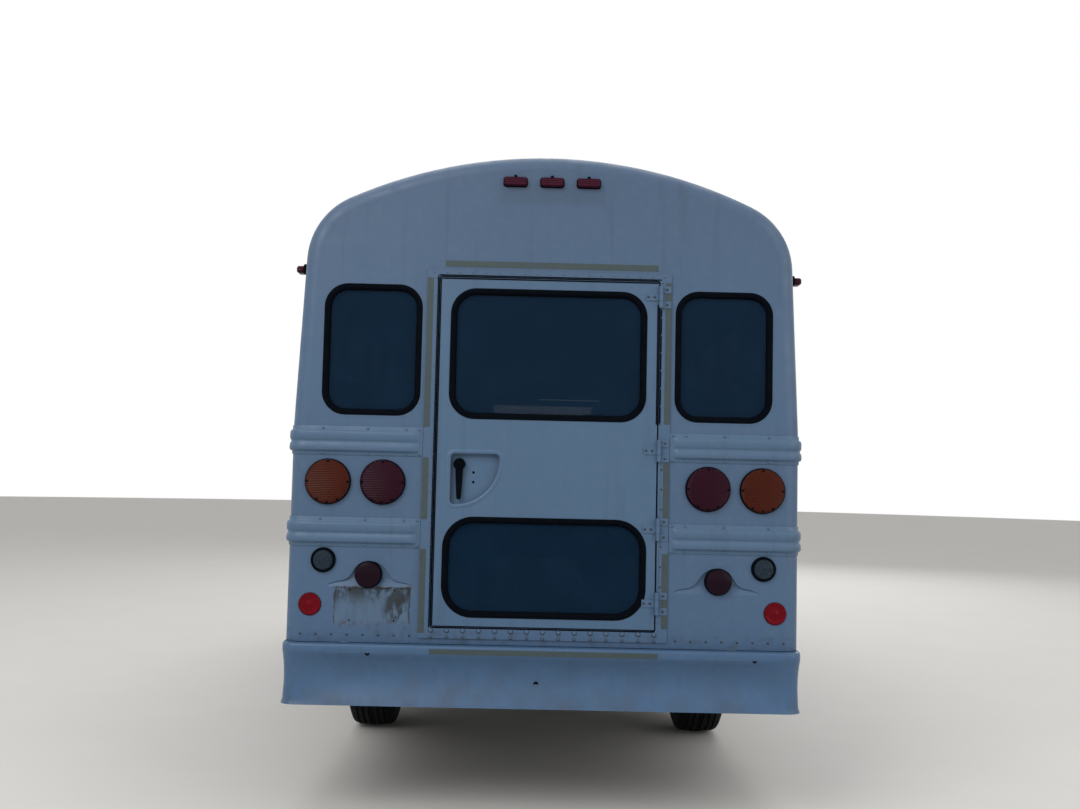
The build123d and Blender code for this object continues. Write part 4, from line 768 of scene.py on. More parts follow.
path = corner_path(HALF + 0.001, BUMPER, 0.060, -2.880,
                   [0.95, 0.93, 0.90, 0.87, 0.84, 0.80, 0.70, 0.5, 0.25, 0], -1)
path += [((-p[0], p[1]), (-o[0], o[1])) for p, o in reversed(path[:-1])]
kit = Kit()
skin(kit, path, lambda i: sum(bumper_profile(path[i][0][0]), []))
for side in BOTH:
    low, high = mirrored(side, 0.393, 0.455)
    kit.box((low, -3.010, 0.55), (high, -2.905, 0.645), 0.004)
skin(kit, path, lambda i: [(-0.055, 0.685), (-0.002, 0.685), (-0.002, 0.679), (-0.055, 0.679)])
kit.box((-0.96, -3.000, 0.6785), (0.96, -2.975, 0.6845), 0.001)
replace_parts(kit.make("bumper_sheet", bumper_paint, slot="bumper_paint", sharp=60), "rear_bumper")


# Lamps
def big_lamp(kit, rim, screws, x, z, radius):
    """A seven-inch lamp: domed ribbed lens on a dark rim with screws round it."""
    rim.lathe([(radius, 0), (radius, 0.010), (radius - 0.003, 0.014), (radius - 0.008, 0.015),
               (radius - 0.010, 0.010)], (x, REAR, z), BACK, 64)
    profile = [(radius - 0.0045, 0.008), (radius - 0.0045, 0.016), (radius - 0.008, 0.019)]
    for i in range(10):
        r = (radius - 0.014) * (1 - i / 9)
        profile.append((r, 0.0185 + 0.008 * (1 - (r / radius) ** 2)))
    kit.lathe(profile, (x, REAR, z), BACK, 64)
    reach = radius - 0.011
    for a in map(math.radians, (0, 90, 180, 270, 240, 300)):
        spot = (x + reach * math.cos(a), REAR - 0.018, z + reach * math.sin(a))
        screws.lathe([(0.0055, 0), (0.0055, 0.0025), (0.003, 0.004), (0, 0.004)], spot, BACK, 8)


ambers, reds, rims, screws = Kit(), Kit(), Kit(), Kit()
for side in BOTH:
    big_lamp(ambers, rims, screws, side * 0.874, 1.323, 0.092)
    big_lamp(reds, rims, screws, side * 0.654, 1.325, 0.091)
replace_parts(ambers.make("turn_lenses", amber, slot="lamp_amber"), "amber_lamps")
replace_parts(reds.make("brake_lenses", red, slot="lamp_red"), "red_lamps")
small_lamps = {}
for name, (x, y, z), rim, dome, material, slot in (
        ("stop_lenses", (0.700, REAR + 0.012, 0.955),
         [(0.0545, 0), (0.0545, 0.018), (0.050, 0.021), (0.046, 0.018)],
         [(0.0505, 0.014), (0.0505, 0.030), (0.048, 0.034), (0.040, 0.0365), (0.020, 0.039),
          (0, 0.0395)], small_red, "lamp_red"),
        ("reverse_lenses", (0.882, REAR, 1.010),
         [(0.050, 0), (0.050, 0.006), (0.047, 0.012), (0.041, 0.012), (0.038, 0.004)],
         [(0.0395, 0.003), (0.0395, 0.012), (0.037, 0.016), (0.026, 0.018), (0.024, 0.0165),
          (0.012, 0.0195), (0, 0.020)], dim_lens, "lamp_clear"),
        ("rear_reflectors", (0.930, REAR, 0.834),
         [(0.0455, 0), (0.0455, 0.003), (0.043, 0.0045)],
         [(0.044, 0), (0.044, 0.004), (0.042, 0.006), (0.036, 0.0065), (0.034, 0.0055),
          (0.008, 0.0072), (0.006, 0.0085), (0, 0.0085)], reflector, "lamp_red")):
    kit = Kit()
    for side in BOTH:
        rims.lathe(rim, (side * x, y, z), BACK, 48)
        kit.lathe(dome, (side * x, y, z), BACK, 48)
    small_lamps[name] = kit.make(name, material, slot=slot)
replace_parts(small_lamps["reverse_lenses"], "reverse_lamps")
rims.make("lamp_rims", rubber, slot="sash")
screws.make("lamp_screws", rubber, slot="lamp_red")

# Marker lamps: three over the door, one high on each side
kit, bases = Kit(), Kit()
plane = rear_plane(REAR)
for x in LAMP_ROW:
    bases.slab(round_rect(x - 0.050, x + 0.050, 2.541, 2.584, 0.012, 4), plane, 0, 0.006, 0.002)
    kit.slab(round_rect(x - 0.046, x + 0.046, 2.545, 2.580, 0.010, 4), plane, 0.004, 0.022, 0.006)
    bases.box((x - 0.006, REAR - 0.018, 2.579), (x + 0.006, REAR - 0.002, 2.589), 0.002)
for side in BOTH:
    x = side_x(2.207)
    low, high = mirrored(side, x - 0.004, x + 0.030)
    bases.box((low, -2.862, 2.186), (high, -2.778, 2.228), 0.008, 3)
    low, high = mirrored(side, x + 0.024, x + 0.060)
    kit.box((low, -2.852, 2.192), (high, -2.788, 2.222), 0.010, 3)
kit.make("clearance_lenses", marker_red, slot="lamp_red")
bases.make("clearance_bases", rubber, slot="lamp_red")

# Tyres with ribs and cut shoulders; half of the section as (across, radius)
TYRE_HALF = [(0.0945, 0.216), (0.0985, 0.222), (0.108, 0.240), (0.118, 0.268), (0.1222, 0.300),
             (0.1195, 0.328), (0.113, 0.350), (0.109, 0.3585), (0.107, 0.3645), (0.103, 0.3705),
             (0.096, 0.3765), (0.086, 0.3805), (0.074, 0.3830), (0.073, 0.3740), (0.065, 0.3740),
             (0.064, 0.3840), (0.044, 0.3855), (0.043, 0.3750), (0.034, 0.3750), (0.033, 0.3862),
             (0.012, 0.3870), (0.011, 0.3755), (0.003, 0.3755), (0.002, 0.3870)]
TYRE_LOOP = TYRE_HALF + [(-a, r) for a, r in reversed(TYRE_HALF)] + [
    (-0.0935, 0.208), (-0.088, 0.2045), (0.088, 0.2045), (0.0935, 0.208)]


def tyre_mesh(side, y, count=132):
    """One tyre: a turned section whose tread is cut into ribs and blocks."""
    verts = []
    for i, turn in enumerate(turns(count)):
        for across, radius in TYRE_LOOP:
            r, edge = radius, abs(across)
            if edge > 0.078 and r > 0.3600 and i % 3 == 0:
                r -= 0.006
            elif 0.030 < edge < 0.0655 and r > 0.380 and i % 4 == (0 if across > 0 else 2):
                r -= 0.004
            elif edge < 0.014 and r > 0.380 and i % 6 == 3:
                r -= 0.003
            verts.append((side * (TRACK + across), y + r * math.cos(turn),
                          TYRE_R + r * math.sin(turn)))
    return Kit().add(verts, bands(count, len(TYRE_LOOP), True))


for end, y in AXLES.items():
    for word, side in SIDES.items():
        body = f"{end}_wheel_{word}"
        made = tyre_mesh(side, y).make(f"{end}_tyre_{word}_tread", tyre, body, "tyre_rubber", 30)
        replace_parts(made, f"{end}_tyre_{word}")
        kit = Kit()
        out = (side, 0, 0)
        kit.lathe([(0.052, -0.006), (0.054, 0.010), (0.050, 0.022), (0.036, 0.030), (0, 0.032)],
                  (side * (TRACK + 0.078), y, TYRE_R), out, 32)
        for a in turns(8, 0.5):
            spot = (side * (TRACK + 0.045), y + 0.0825 * math.cos(a), TYRE_R + 0.0825 * math.sin(a))
            kit.lathe([(0.011, -0.002), (0.011, 0.016), (0.008, 0.020), (0, 0.021)], spot, out, 6)
        kit.make(f"{end}_hub_{word}", steel, body, "wheel_paint", 30)


# Finding places on the CAD's surfaces
def hit(names, start, way):
    """Where a ray first meets any of the named nodes, and the surface's direction there."""
    start, way = Vector(start), Vector(way).normalized()
    rays = [nodes[name].ray_cast(start, way) for name in names.split()]
    met = [(place, normal.normalized()) for found, place, normal, _ in rays if found]
    return min(met, key=lambda h: (h[0] - start).length, default=None)


def front_spot(x, z, lift, names):
    """A place on the front of the named nodes, tried again a little aside where there's a gap."""
    for dx, dz in ((0, 0), (0.003, 0), (-0.003, 0), (0, 0.004), (0, -0.004), (0.008, 0.008),
                   (-0.008, -0.008)):
        found = hit(names, (x + dx, 4, z + dz), BACK)
        if found:
            return found[0] + found[1] * lift
    raise RuntimeError(f"nothing at {x:.3f}, {z:.3f}")


def patch(kit, names, across, up, lift, rim=0.005):
    """A thin cover on the front of the named nodes, its border turned down to the surface."""
    def steps(low, high, count):
        inner = high - low - 2 * rim
        return [low] + [low + rim + inner * i / count for i in range(count + 1)] + [high]
    xs, zs = steps(*across, 6), steps(*up, 5)
    verts = []
    for x in xs:
        for z in zs:
            border = x in (xs[0], xs[-1]) or z in (zs[0], zs[-1])
            place, normal = hit(names, (x, 4, z), BACK)
            verts.append(place + normal * (-0.001 if border else lift))
    wide = len(zs)
    kit.add(verts, [(i * wide + j, i * wide + j + 1, (i + 1) * wide + j + 1, (i + 1) * wide + j)
                    for i in range(len(xs) - 1) for j in range(wide - 1)])


# Rear door: seals that also paint the gap's shadow, hinge screws, handle and its cup
# Black strips along the door's edges: partly rubber seals, partly painted shadow that widens the
# dark gap.
for name, body, edges in (
        ("door_edge_seal_and_shade", "emergency_door",
         ((-0.4445, -0.4395, 0.759, 2.158), (-0.4395, 0.4445, 2.1550, 2.1605),
          (-0.4395, 0.4445, 0.7560, 0.7600), (0.4390, 0.4445, 1.58, 2.07))),
        ("frame_edge_seal_and_shade", "coach",
         ((-0.4560, -0.4515, 0.752, 2.168), (-0.4515, 0.4560, 2.1685, 2.1730),
          (0.4515, 0.4585, 1.58, 2.05)))):
    kit = Kit()
    for edge in edges:
        strip(kit, *edge, DOOR_FACE, 0.002, 0.0012)
    kit.make(name, rubber, body, "sash")
leaf, frame_side = Kit(), Kit()
for z in (0.865, 1.160, 1.475, 2.100):
    heads(leaf, [(x, DOOR_FACE - 0.004, z) for x in (0.402, 0.426)], BACK, 0.0055)
    heads(frame_side, [(0.478, DOOR_FACE - 0.004, z + dz) for dz in (-0.031, 0.031)], BACK, 0.0055)
for z in (0.930, 1.010, 1.090, 1.240, 1.320, 1.400):
    heads(frame_side, [(0.466, DOOR_FACE, z)], BACK, 0.0040)
leaf.make("hinge_screws_door", bolt_steel, "emergency_door", "handle_black")
frame_side.make("hinge_screws_frame", bolt_steel, slot="handle_black")
kit = Kit()
for low, high in ((0.91, 1.115), (1.205, 1.43)):
    kit.box((0.4525, DOOR_FACE - 0.0035, low), (0.4585, DOOR_FACE + 0.0005, high), 0.0015)
kit.make("hinge_strip", trim_paint)

LEVER_X, LEVER_Z = -0.349, 1.404
CUP_FLOOR = DOOR_FACE + 0.024
TAPER = [(0.0165, 0.0), (0.015, -0.035), (0.010, -0.120), (0.0085, -0.134), (0.005, -0.141)]
kit = Kit()
outline = [(LEVER_X - a, LEVER_Z + b) for a, b in TAPER]
outline += [(LEVER_X + a, LEVER_Z + b) for a, b in reversed(TAPER)]
kit.slab(outline, rear_plane(CUP_FLOOR), 0.0085, 0.0215, 0.003)
kit.lathe([(0.0235, 0.018), (0.0245, 0.0205), (0.0225, 0.0235), (0.017, 0.0245),
           (0.0155, 0.0215), (0.0075, 0.0220), (0.0065, 0.0245), (0, 0.0250)],
          (LEVER_X, CUP_FLOOR, LEVER_Z), BACK, 40)
kit.make("handle_lever", rubber, "emergency_door", "handle_black")
left_x, right_x, low_z, high_z, bend, corner = -0.385, -0.187, 1.242, 1.447, 0.178, 0.018
outline = (arc(right_x - corner, high_z - corner, corner, 0, 6)
           + arc(left_x + corner, high_z - corner, corner, 90, 6)
           + arc(left_x + corner, low_z + corner, corner, 180, 6)
           + arc(left_x + 0.020, low_z + bend, bend, 270, 20))
kit = Kit().sweep([(a, DOOR_FACE, b) for a, b in outline],
                  [(-0.018, 0.001), (-0.016, -0.0003), (-0.012, -0.0018), (-0.008, -0.0026),
                   (-0.004, -0.0022), (-0.001, -0.001), (0.001, 0.001)], FORE)
kit.make("handle_cup_rim", door_paint, "emergency_door")
kit = Kit()
for z in (1.372, 1.333):
    kit.lathe([(0.0055, 0), (0.0050, 0.0012), (0.003, 0.0014), (0, 0.0004)],
              (-0.292, CUP_FLOOR, z), BACK, 12)
kit.make("handle_cup_holes", rubber, "emergency_door", "handle_black")

# Odd dark bolt holes in the bumper
kit = Kit()
for x, z, r in ((-0.0215, 0.5425, 0.0065), (-0.6865, 0.6535, 0.006), (0.838, 0.6535, 0.005)):
    face = bumper_profile(x)[0]
    (a, b), (c, d) = next((p, q) for p, q in zip(face, face[1:]) if p[1] >= z >= q[1])
    depth = a + (c - a) * (b - z) / (b - d)
    kit.lathe([(r * 1.5, -0.001), (r * 1.5, 0.0010), (r, 0.0014), (r * 0.8, 0.0003), (0, 0.0001)],
              (x, BUMPER - depth, z), (0, d - b, a - c), 14)
kit.make("bumper_bolts", rubber, slot="bumper_paint")

# Body rivets along the sides
RIVETS_REAR = -2.862
kit = Kit()
for side, end in ((-1, 0.625), (1, 0.74)):
    places = steps_between(RIVETS_REAR, end, 0.11)
    out = (side, 0, 0)
    heads(kit, [(side * (HALF + 0.004), y, z) for z in RAIL_RIVETS for y in places],
          out, 0.0048, 6)
    heads(kit, [(side * HALF, y, z) for z in (0.73, 1.02) for y in places
                if z > 0.8 or abs(y - AXLES["rear"]) >= 0.5], out, 0.0045, 6)
kit.make("side_rivets", trim_paint)

# Riveted seams over the roof: at its ends and at the pillars between the side windows
WINDOWS_REAR, WINDOW_PITCH = -2.690, 0.711
kit, dots = Kit(), Kit()
for y in [-2.868] + [WINDOWS_REAR + WINDOW_PITCH * i for i in range(1, 5)] + [0.640]:
    path = []
    for i in range(49):
        a = math.radians(-6 + 4 * i)
        found = hit("roof side_wall_left side_wall_right rear_wall front_cap",
                    (3 * math.cos(a), y, 1.75 + 3 * math.sin(a)), (-math.cos(a), 0, -math.sin(a)))
        if found and found[0].z > 2.215:
            path.append(found)
    kit.sweep([p for p, _ in path],
              [(-0.001, -0.014), (0.0014, -0.013), (0.0014, 0.013), (-0.001, 0.014)], FORE, False)
    for (p, n), (q, _) in zip(path, path[1:]):
        heads(dots, [p.lerp(q, t) + n * 0.001 for t in (0.25, 0.75)], n, 0.0042, 6)
kit.make("roof_straps", trim_paint)
dots.make("roof_rivets", trim_paint)

# Drip rails over the side windows
DRIP = [(0, 2.194), (0.013, 2.190), (0.016, 2.197), (0.0145, 2.199), (0.011, 2.196),
        (0.002, 2.206), (0, 2.206)]
kit = Kit()
for side, end in ((-1, 0.64), (1, 1.53)):
    skin(kit, side_stations(side, side_x(2.2) - 0.001, (-2.80, end)), lambda i: DRIP)
kit.make("drip_rails", trim_paint)

# Side windows: seals and latches
MID_Z = (1.585 + 2.165) / 2
PANE_SEAL = [(-0.003, 0.0), (0.010, 0.0), (0.009, 0.003), (0.003, 0.005), (-0.003, 0.003),
             (-0.006, -0.002)]


def wall_point(side, y, up, out):
    """A point on a leaning side wall: along Y, up the wall from the windows' middle, and out."""
    return (side * (side_x(MID_Z) - up * math.sin(TILT) + out * math.cos(TILT)), y,
            MID_Z + up * math.cos(TILT) + out * math.sin(TILT))


seals, latches = Kit(), Kit()
for side, last_width in ((-1, 0.480), (1, 0.580)):
    spans = [(WINDOWS_REAR + WINDOW_PITCH * i, WINDOW_PITCH) for i in range(4)]
    for rear, width in spans + [(0.154, last_width)]:
        ends = (rear + 0.023, rear + width - 0.023)
        seals.sweep([wall_point(side, y, u, 0) for y, u in round_rect(*ends, -0.29, 0.29, 0.05, 6)],
                    [(side * a, b) for a, b in PANE_SEAL],
                    (side * math.cos(TILT), 0, math.sin(TILT)))
        for y in (ends[0] + 0.07, ends[1] - 0.07):
            x, _, z = wall_point(side, y, 0.012, -0.048)
            latches.box((x - 0.010, y - 0.022, z - 0.009), (x + 0.010, y + 0.022, z + 0.009), 0.004)
seals.make("side_window_seals", rubber, slot="sash")
latches.make("window_latches", steel, slot="sash")

# Padded seats
SWELL = 0.022            # the most that the cloth may move a pad's skin


def baked(pad):
    """A pad's mesh as its modifiers leave it."""
    depsgraph = bpy.context.evaluated_depsgraph_get()
    return bpy.data.meshes.new_from_object(pad.evaluated_get(depsgraph))


def inflate(name, width, depth, height, voxel):
    """A pad swollen by cloth pressure from a smaller box and held near its own size."""
    w, d, h = [(size - SWELL * 0.8) / 2 for size in (width, depth, height)]
    kit = Kit().box((-w, -d, -h), (w, d, h), min(height, depth) * 0.3, 5)
    pad = link(name, kit.mesh(name))
    remesh = pad.modifiers.new("remesh", "REMESH")
    remesh.mode = "VOXEL"
    remesh.voxel_size = voxel
    pad.data = baked(pad)
    pad.modifiers.clear()
    rest = [v.co.copy() for v in pad.data.vertices]
    cloth = pad.modifiers.new("cloth", "CLOTH").settings
    cloth.use_pressure = True
    cloth.uniform_pressure_force = 4.0
    cloth.effector_weights.gravity = 0
    cloth.quality = 4
    cloth.mass = 0.4
    cloth.tension_stiffness = 12
    cloth.compression_stiffness = 12
    for frame_number in range(1, 21):
        scene.frame_set(frame_number)
    pad.data = baked(pad)
    pad.modifiers.clear()
    scene.frame_set(1)
    for v, start in zip(pad.data.vertices, rest):
        travel = v.co - start
        if travel.length > SWELL:
            v.co = start + travel.normalized() * SWELL
        v.co.x = max(-width / 2 - 0.004, min(width / 2 + 0.004, v.co.x))
        v.co.y = max(-depth / 2 - 0.006, min(depth / 2 + 0.006, v.co.y))
        v.co.z = max(-height / 2, min(height / 2 + 0.008, v.co.z))
    smooth = pad.modifiers.new("smooth", "SUBSURF")
    smooth.levels = smooth.render_levels = 1
    made = baked(pad)
    made.shade_smooth()
    bpy.data.objects.remove(pad)
    return made


def pad_and_piping(name, width, depth, height, voxel, seams):
    """A pad, and the piping sewn to it along seams given as (height, inset)."""
    pad = inflate(name, width, depth, height, voxel)
    tree = BVHTree.FromPolygons([v.co for v in pad.vertices], [p.vertices for p in pad.polygons])
    kit, radius = Kit(), 0.0045
    for level, inset in seams:
        across, along = width / 2 - inset, depth / 2 - inset
        loop = [(a, b, level) for a, b in round_rect(-across, across, -along, along, 0.03, 4)]
        found = [tree.find_nearest(p) for p in dense(loop)]
        tube(kit, [place + normal * radius * 0.2 for place, normal, _, _ in found], radius, 6, True)
    piping = kit.mesh(name + "_piping")
    piping.shade_smooth()
    return pad, piping


def put(name, mesh, material, place, tip=0.0):
    """One piece made from a shared mesh, placed and tipped about X."""
    if not mesh.materials:
        mesh.materials.append(material)
    obj = link(name, mesh)
    obj.matrix_world = Matrix.Translation(place) @ Matrix.Rotation(tip, 4, "X")
    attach(obj, "coach")
    return obj


cushion = pad_and_piping("bench_cushion", 0.726, 0.392, 0.088, 0.016, [(0.0264, -0.004)])
backrest = pad_and_piping("bench_back", 0.726, 0.655, 0.084, 0.018,
                          [(-0.026, -0.004), (0.026, -0.004)])
driver_cushion = pad_and_piping("driver_cushion", 0.470, 0.450, 0.118, 0.014,
                                [(0.035, -0.004), (0.055, 0.085)])
driver_back = pad_and_piping("driver_back", 0.470, 0.735, 0.100, 0.014,
                             [(-0.03, -0.004), (0.03, -0.004), (0.05, 0.08)])
SEATS_REAR, SEAT_PITCH = -2.430, 0.685
bench_tip = math.pi / 2 + math.atan(70 / 590)
for word, count in (("left", 5), ("right", 4)):
    for i in range(count):
        x, y = SIDES[word] * 0.606, SEATS_REAR + SEAT_PITCH * i
        at, middle = (x, y + 0.001, 1.155), (x, y - 0.275, 1.450)
        piece = put(f"bench_cushion_{word}_{i}", cushion[0], vinyl, at)
        put(f"bench_cushion_piping_{word}_{i}", cushion[1], piping_vinyl, at)
        if i == 0:
            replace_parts(piece, f"seats_{word}")
        put(f"bench_back_{word}_{i}", backrest[0], vinyl, middle, bench_tip)
        put(f"bench_back_piping_{word}_{i}", backrest[1], piping_vinyl, middle, bench_tip)
at, middle = (-0.43, 1.150, 0.980), (-0.43, 0.835, 1.325)
driver_tip = math.pi / 2 + math.atan(90 / 660)
piece = put("driver_cushion", driver_cushion[0], vinyl, at)
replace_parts(piece, "driver_seat")
put("driver_cushion_piping", driver_cushion[1], piping_vinyl, at)
put("driver_back", driver_back[0], vinyl, middle, driver_tip)
put("driver_back_piping", driver_back[1], piping_vinyl, middle, driver_tip)
kit = Kit()
kit.box((-0.60, 0.96, 0.60), (-0.26, 1.30, 0.915), 0.02, 3)
kit.box((-0.635, 0.94, 0.885), (-0.225, 1.34, 0.925), 0.012)
kit.make("driver_pedestal", plastic, slot="seat_vinyl")
kit = Kit()
for z in [0.640 + i * 0.033 for i in range(7)]:
    kit.box((-0.606, 0.954, z), (-0.254, 1.306, z + 0.012), 0.004)
kit.make("driver_pedestal_boot", rubber, slot="seat_vinyl")


# Front: seals of the windscreen and the cap's foot, and wipers
def glass_edge(z):
    """Half width of the windscreen at height z."""
    return 0.898 - (z - 1.32) * math.tan(math.radians(9))


low_z, high_z = 1.352, 1.943
rise = [low_z + (high_z - low_z) * i / 12 for i in range(1, 13)]
loop = [(glass_edge(low_z) * (i / 14 - 1), low_z) for i in range(29)]
loop += [(glass_edge(z), z) for z in rise]
loop += [(glass_edge(high_z) * (1 - i / 12), high_z) for i in range(1, 25)]
loop += [(-glass_edge(z), z) for z in rise[-2::-1]]
kit = Kit()
tube(kit, [front_spot(x, z, 0.006, "windshield") for x, z in loop], 0.011, closed=True)
kit.make("windscreen_seal", rubber, slot="black_plastic")
kit = Kit()
tube(kit, [(x, 1.556, 2.001) for x in (-0.88, -0.4, 0, 0.4, 0.88)], 0.012)
kit.make("cap_foot_seal", rubber, slot="black_plastic")

FOOT_Z, TIP_Z = 1.318, 1.47
arms, blades = Kit(), Kit()
for base_x, tip_x in ((0.62, 0.12), (-0.10, -0.60)):
    base = front_spot(base_x, FOOT_Z, 0.006, "cab_shell hood windshield")
    arms.lathe([(0.020, -0.012), (0.020, 0.010), (0.014, 0.017), (0, 0.018)], base,
               (0, 0.65, 0.75), 20)
    mid = front_spot((base_x + tip_x) / 2, FOOT_Z + (TIP_Z - FOOT_Z) * 0.55, 0.034,
                     "windshield cab_shell")
    tip = front_spot(tip_x, TIP_Z, 0.022, "windshield")
    tube(arms, [base + Vector((0, 0.010, 0.012)), base.lerp(mid, 0.5) + Vector((0, 0.02, 0.015)),
                mid, tip], 0.0055)
    span = Vector((tip_x - base_x, 0, TIP_Z - FOOT_Z)).normalized() * 0.22
    points = [front_spot(tip_x + span.x * t, TIP_Z + span.z * t * 0.35, 0.008, "windshield")
              for t in (-1, -0.5, 0, 0.5, 0.85)]
    tube(blades, points, 0.006, 6)
    tube(arms, [p + (tip - points[2]) * 0.55 for p in points], 0.0045, 6)
arms.make("wiper_arms", black_paint, slot="black_plastic")
blades.make("wiper_blades", rubber, slot="black_plastic")


# Bezels round the headlamps and the grille, and an amber lamp at each outer end
def bezel(corners, lift, names, radius):
    tube(bezels, [front_spot(p.x, p.z, lift, names) for p in dense(rear_path(0, *corners, 4))],
         radius, closed=True)


bezels, ambers, bowls = Kit(), Kit(), Kit()
for side in BOTH:
    bezel((*mirrored(side, 0.503, 0.896), 0.738, 0.902, 0.02), 0.002, "headlamps cab_shell", 0.007)
    patch(ambers, "headlamps", mirrored(side, 0.80, 0.888), (0.750, 0.890), 0.004)
    middle = front_spot(side * 0.64, 0.82, 0.0, "headlamps")
    for r, lift in ((0.068, 0.0045), (0.045, 0.0055)):
        tube(bowls, [front_spot(middle.x + r * math.cos(a), 0.82 + r * math.sin(a), lift,
                                "headlamps") for a in turns(32)], 0.003, 6, True)
bezel((-0.432, 0.432, 0.698, 0.932, 0.015), 0.003, "grille cab_shell hood", 0.009)
bezels.make("front_bezels", chrome, slot="black_plastic")
ambers.make("front_turn_lenses", marker_amber, slot="lamp_amber")
bowls.make("headlamp_rings", chrome, slot="lamp_clear")

lenses, bases = Kit(), Kit()
for x in LAMP_ROW:
    patch(bases, "front_cap", (x - 0.050, x + 0.050), (2.467, 2.513), 0.008, 0.004)
    patch(lenses, "front_cap", (x - 0.044, x + 0.044), (2.472, 2.508), 0.021, 0.006)
lenses.make("cap_lamp_lenses", marker_amber, slot="lamp_amber")
bases.make("cap_lamp_bases", rubber, slot="lamp_amber")

# Bonnet vents and mirror glasses
kit = Kit()
for i in range(9):
    place, normal = hit("hood cab_shell", (-0.40 + i * 0.10, 2.40, 3), (0, 0, -1))
    x, y, z = place + normal * 0.0005
    kit.box((x - 0.036, y - 0.006, z - 0.002), (x + 0.036, y + 0.006, z + 0.003), 0.002)
kit.make("hood_vents", rubber, "hood", "black_plastic")
kit = Kit()
for side in BOTH:
    ends = mirrored(side, 1.142, 1.304)
    for low, high, top, bevel in ((1.500, 1.686, 0.0035, 0.002), (1.394, 1.486, 0.0060, 0.004)):
        kit.slab(round_rect(*ends, low, high, 0.028, 6), rear_plane(1.990), -0.001, top, bevel)
kit.make("mirror_glass", silver, slot="black_plastic")

# Driver's door: handle and lock; a filler flap on the left side
LEFT = (-1, 0, 0)
kit = Kit()
x = hit("driver_door", (-3, 0.80, 1.265), (1, 0, 0))[0].x
kit.box((x - 0.006, 0.735, 1.235), (x + 0.004, 0.865, 1.295), 0.004, 3)
kit.box((x - 0.024, 0.745, 1.266), (x - 0.006, 0.855, 1.284), 0.007, 3)
kit.lathe([(0.012, -0.002), (0.012, 0.003), (0.004, 0.0035), (0, 0.001)],
          hit("driver_door", (-3, 0.90, 1.265), (1, 0, 0))[0], LEFT, 20)
kit.make("driver_door_handle", plastic, "driver_door", "handle_black")
kit = Kit()
kit.slab(round_rect(-0.42, -0.20, 0.86, 1.04, 0.03, 5), lambda a, b, c: (-HALF - c, a, b),
         -0.001, 0.0025, 0.0015)
kit.box((-HALF - 0.008, -0.405, 0.875), (-HALF - 0.001, -0.397, 1.025), 0.003)
kit.lathe([(0.011, 0), (0.011, 0.004), (0.004, 0.005), (0, 0.002)],
          (-HALF - 0.002, -0.225, 0.95), LEFT, 20)
kit.make("filler_flap", trim_paint)

# Entry door: rubber nosings where the leaves meet, glass seals and a grab rail
for word, edge_y in (("rear", 1.135), ("front", 1.145)):
    kit = Kit()
    kit.box((0.967, edge_y - 0.004, 0.42), (0.995, edge_y + 0.003, 2.07), 0.006, 3)
    box_low, box_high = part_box(f"entry_glass_{word}")
    for low, high in ((0.510, 1.080), (1.180, 2.000)):
        outline = round_rect(box_low[1], box_high[1], low, high, 0.04, 5)
        kit.sweep([(1.004, a, b) for a, b in outline],
                  [(0.003, 0.0), (-0.010, 0.0), (-0.009, 0.003), (-0.003, 0.0045), (0.003, 0.003)],
                  (1, 0, 0))
    kit.make(f"entry_seals_{word}", rubber, f"entry_leaf_{word}", "sash")
kit = Kit()
tube(kit, [(0.985, 0.700, 1.10), (0.935, 0.730, 1.10), (0.925, 0.745, 1.14), (0.925, 0.745, 1.66),
           (0.935, 0.730, 1.70), (0.985, 0.700, 1.70)], 0.014, 10)
kit.make("entry_grab_rail", steel, slot="seat_tube")

# Inside: step edges, aisle strips, roof lamps, gauges, pedals and lever
kit = Kit()
for x, z in ((0.420, 0.770), (0.700, 0.585)):
    kit.box((x - 0.035, 0.80, z - 0.001), (x + 0.004, 1.48, z + 0.004), 0.002)
for x in (-0.235, 0.235):
    kit.box((x - 0.010, -2.92, 0.769), (x + 0.010, 0.60, 0.773), 0.0015)
kit.make("floor_trim", steel, slot="floor_black")
kit, rims = Kit(), Kit()
for y in (-2.2, -0.9, 0.35):
    place = hit("roof", (0, y, 1.6), UP)[0]
    kit.lathe([(0.075, -0.001), (0.072, 0.012), (0.050, 0.022), (0, 0.026)], place, (0, 0, -1))
    rims.lathe([(0.090, -0.001), (0.090, 0.006), (0.076, 0.010), (0.074, 0.004)], place, (0, 0, -1))
kit.make("dome_lamps", clear_lens, slot="lamp_clear")
rims.make("dome_lamp_rims", chrome, slot="seat_tube")
kit, dials = Kit(), Kit()
kit.box((-0.64, 1.742, 1.205), (-0.22, 1.86, 1.325), 0.03, 4)
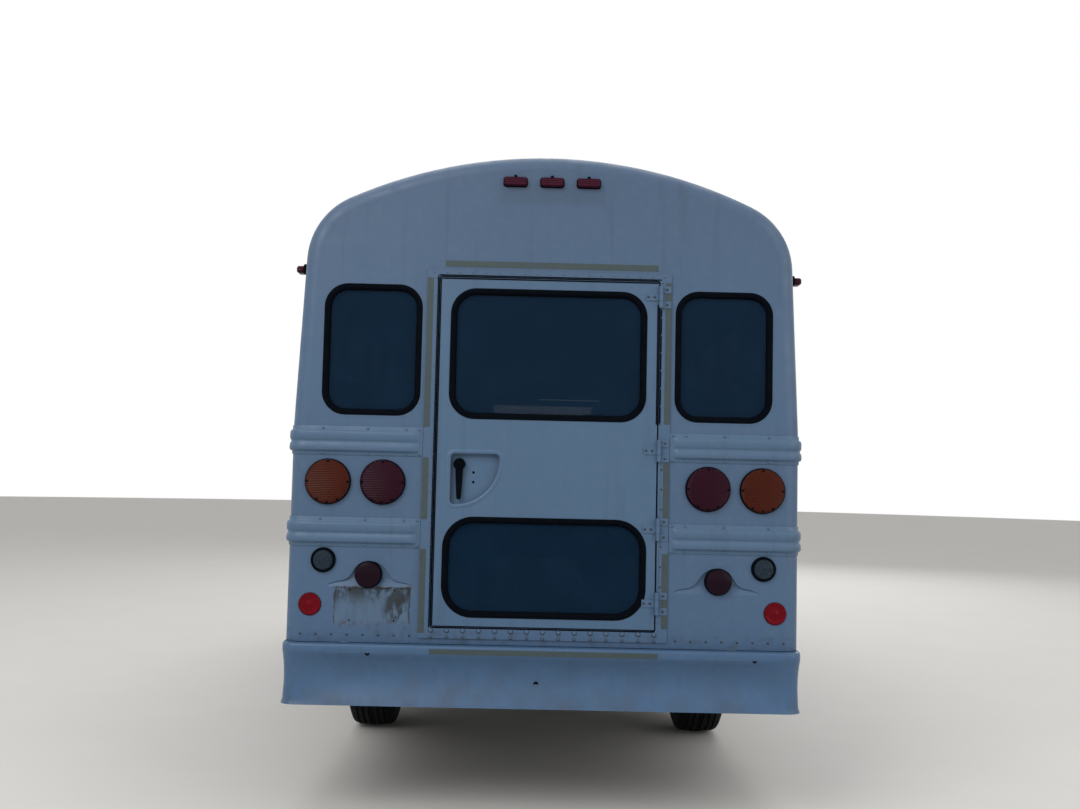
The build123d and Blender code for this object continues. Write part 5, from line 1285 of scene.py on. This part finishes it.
for x, r in ((-0.53, 0.042), (-0.43, 0.032), (-0.34, 0.042)):
    at, face = (x, 1.742, 1.262), (0, -1, 0.25)
    kit.lathe([(r + 0.006, -0.004), (r + 0.006, 0.008), (r, 0.010), (r - 0.002, 0.004)], at, face)
    dials.lathe([(r, 0.003), (r * 0.5, 0.0035), (0, 0.0036)], at, face)
    dials.box((x - 0.0015, 1.732, 1.262), (x + 0.0015, 1.7355, 1.262 + r * 0.8), 0.0005)
for z in [1.165 + i * 0.016 for i in range(5)]:
    kit.box((0.18, 1.746, z), (0.36, 1.762, z + 0.009), 0.003)
kit.make("gauge_cowl", dash, slot="dash_plastic")
dials.make("gauge_faces", dial_face, slot="dash_plastic")
kit = Kit()
for x, w in ((-0.36, 0.03), (-0.47, 0.05)):
    kit.box((x - w, 1.925, 0.700), (x + w, 1.945, 0.770), 0.006)
    tube(kit, [(x, 1.945, 0.735), (x, 1.985, 0.80), (x, 2.05, 0.88)], 0.008)
tube(kit, [(-0.345, 1.72, 1.16), (-0.28, 1.66, 1.22), (-0.25, 1.64, 1.25)], 0.006)
kit.lathe([(0, -0.016), (0.012, -0.010), (0.014, 0), (0.012, 0.010), (0, 0.016)],
          (-0.248, 1.638, 1.252), (0.2, -0.2, 0.3), 16)
kit.make("pedals_and_lever", black_paint, slot="dash_plastic")

# Under the hood
kit, caps = Kit(), Kit()
for x in (-0.15, 0.15):
    kit.box((x - 0.075, 2.29, 0.972), (x + 0.075, 2.74, 1.010), 0.018, 4)
kit.lathe([(0.165, -0.02), (0.172, 0.005), (0.172, 0.035), (0.150, 0.050), (0.06, 0.052),
           (0, 0.052)], (0, 2.50, 1.030), UP, 40)
kit.box((0.34, 2.26, 0.84), (0.50, 2.46, 1.01), 0.008)
kit.make("engine_covers", black_paint, slot="engine_iron")
caps.lathe([(0.022, 0), (0.022, 0.014), (0.012, 0.018), (0, 0.018)], (0, 2.50, 1.082), UP, 20)
caps.lathe([(0.024, -0.01), (0.024, 0.016), (0.016, 0.020), (0, 0.020)], (-0.15, 2.34, 1.012), UP,
           20)
for y in (2.31, 2.41):
    caps.lathe([(0.011, -0.01), (0.009, 0.018), (0, 0.019)], (0.38, y, 1.012), UP, 14)
caps.make("engine_caps", steel, slot="engine_iron")

low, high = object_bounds()
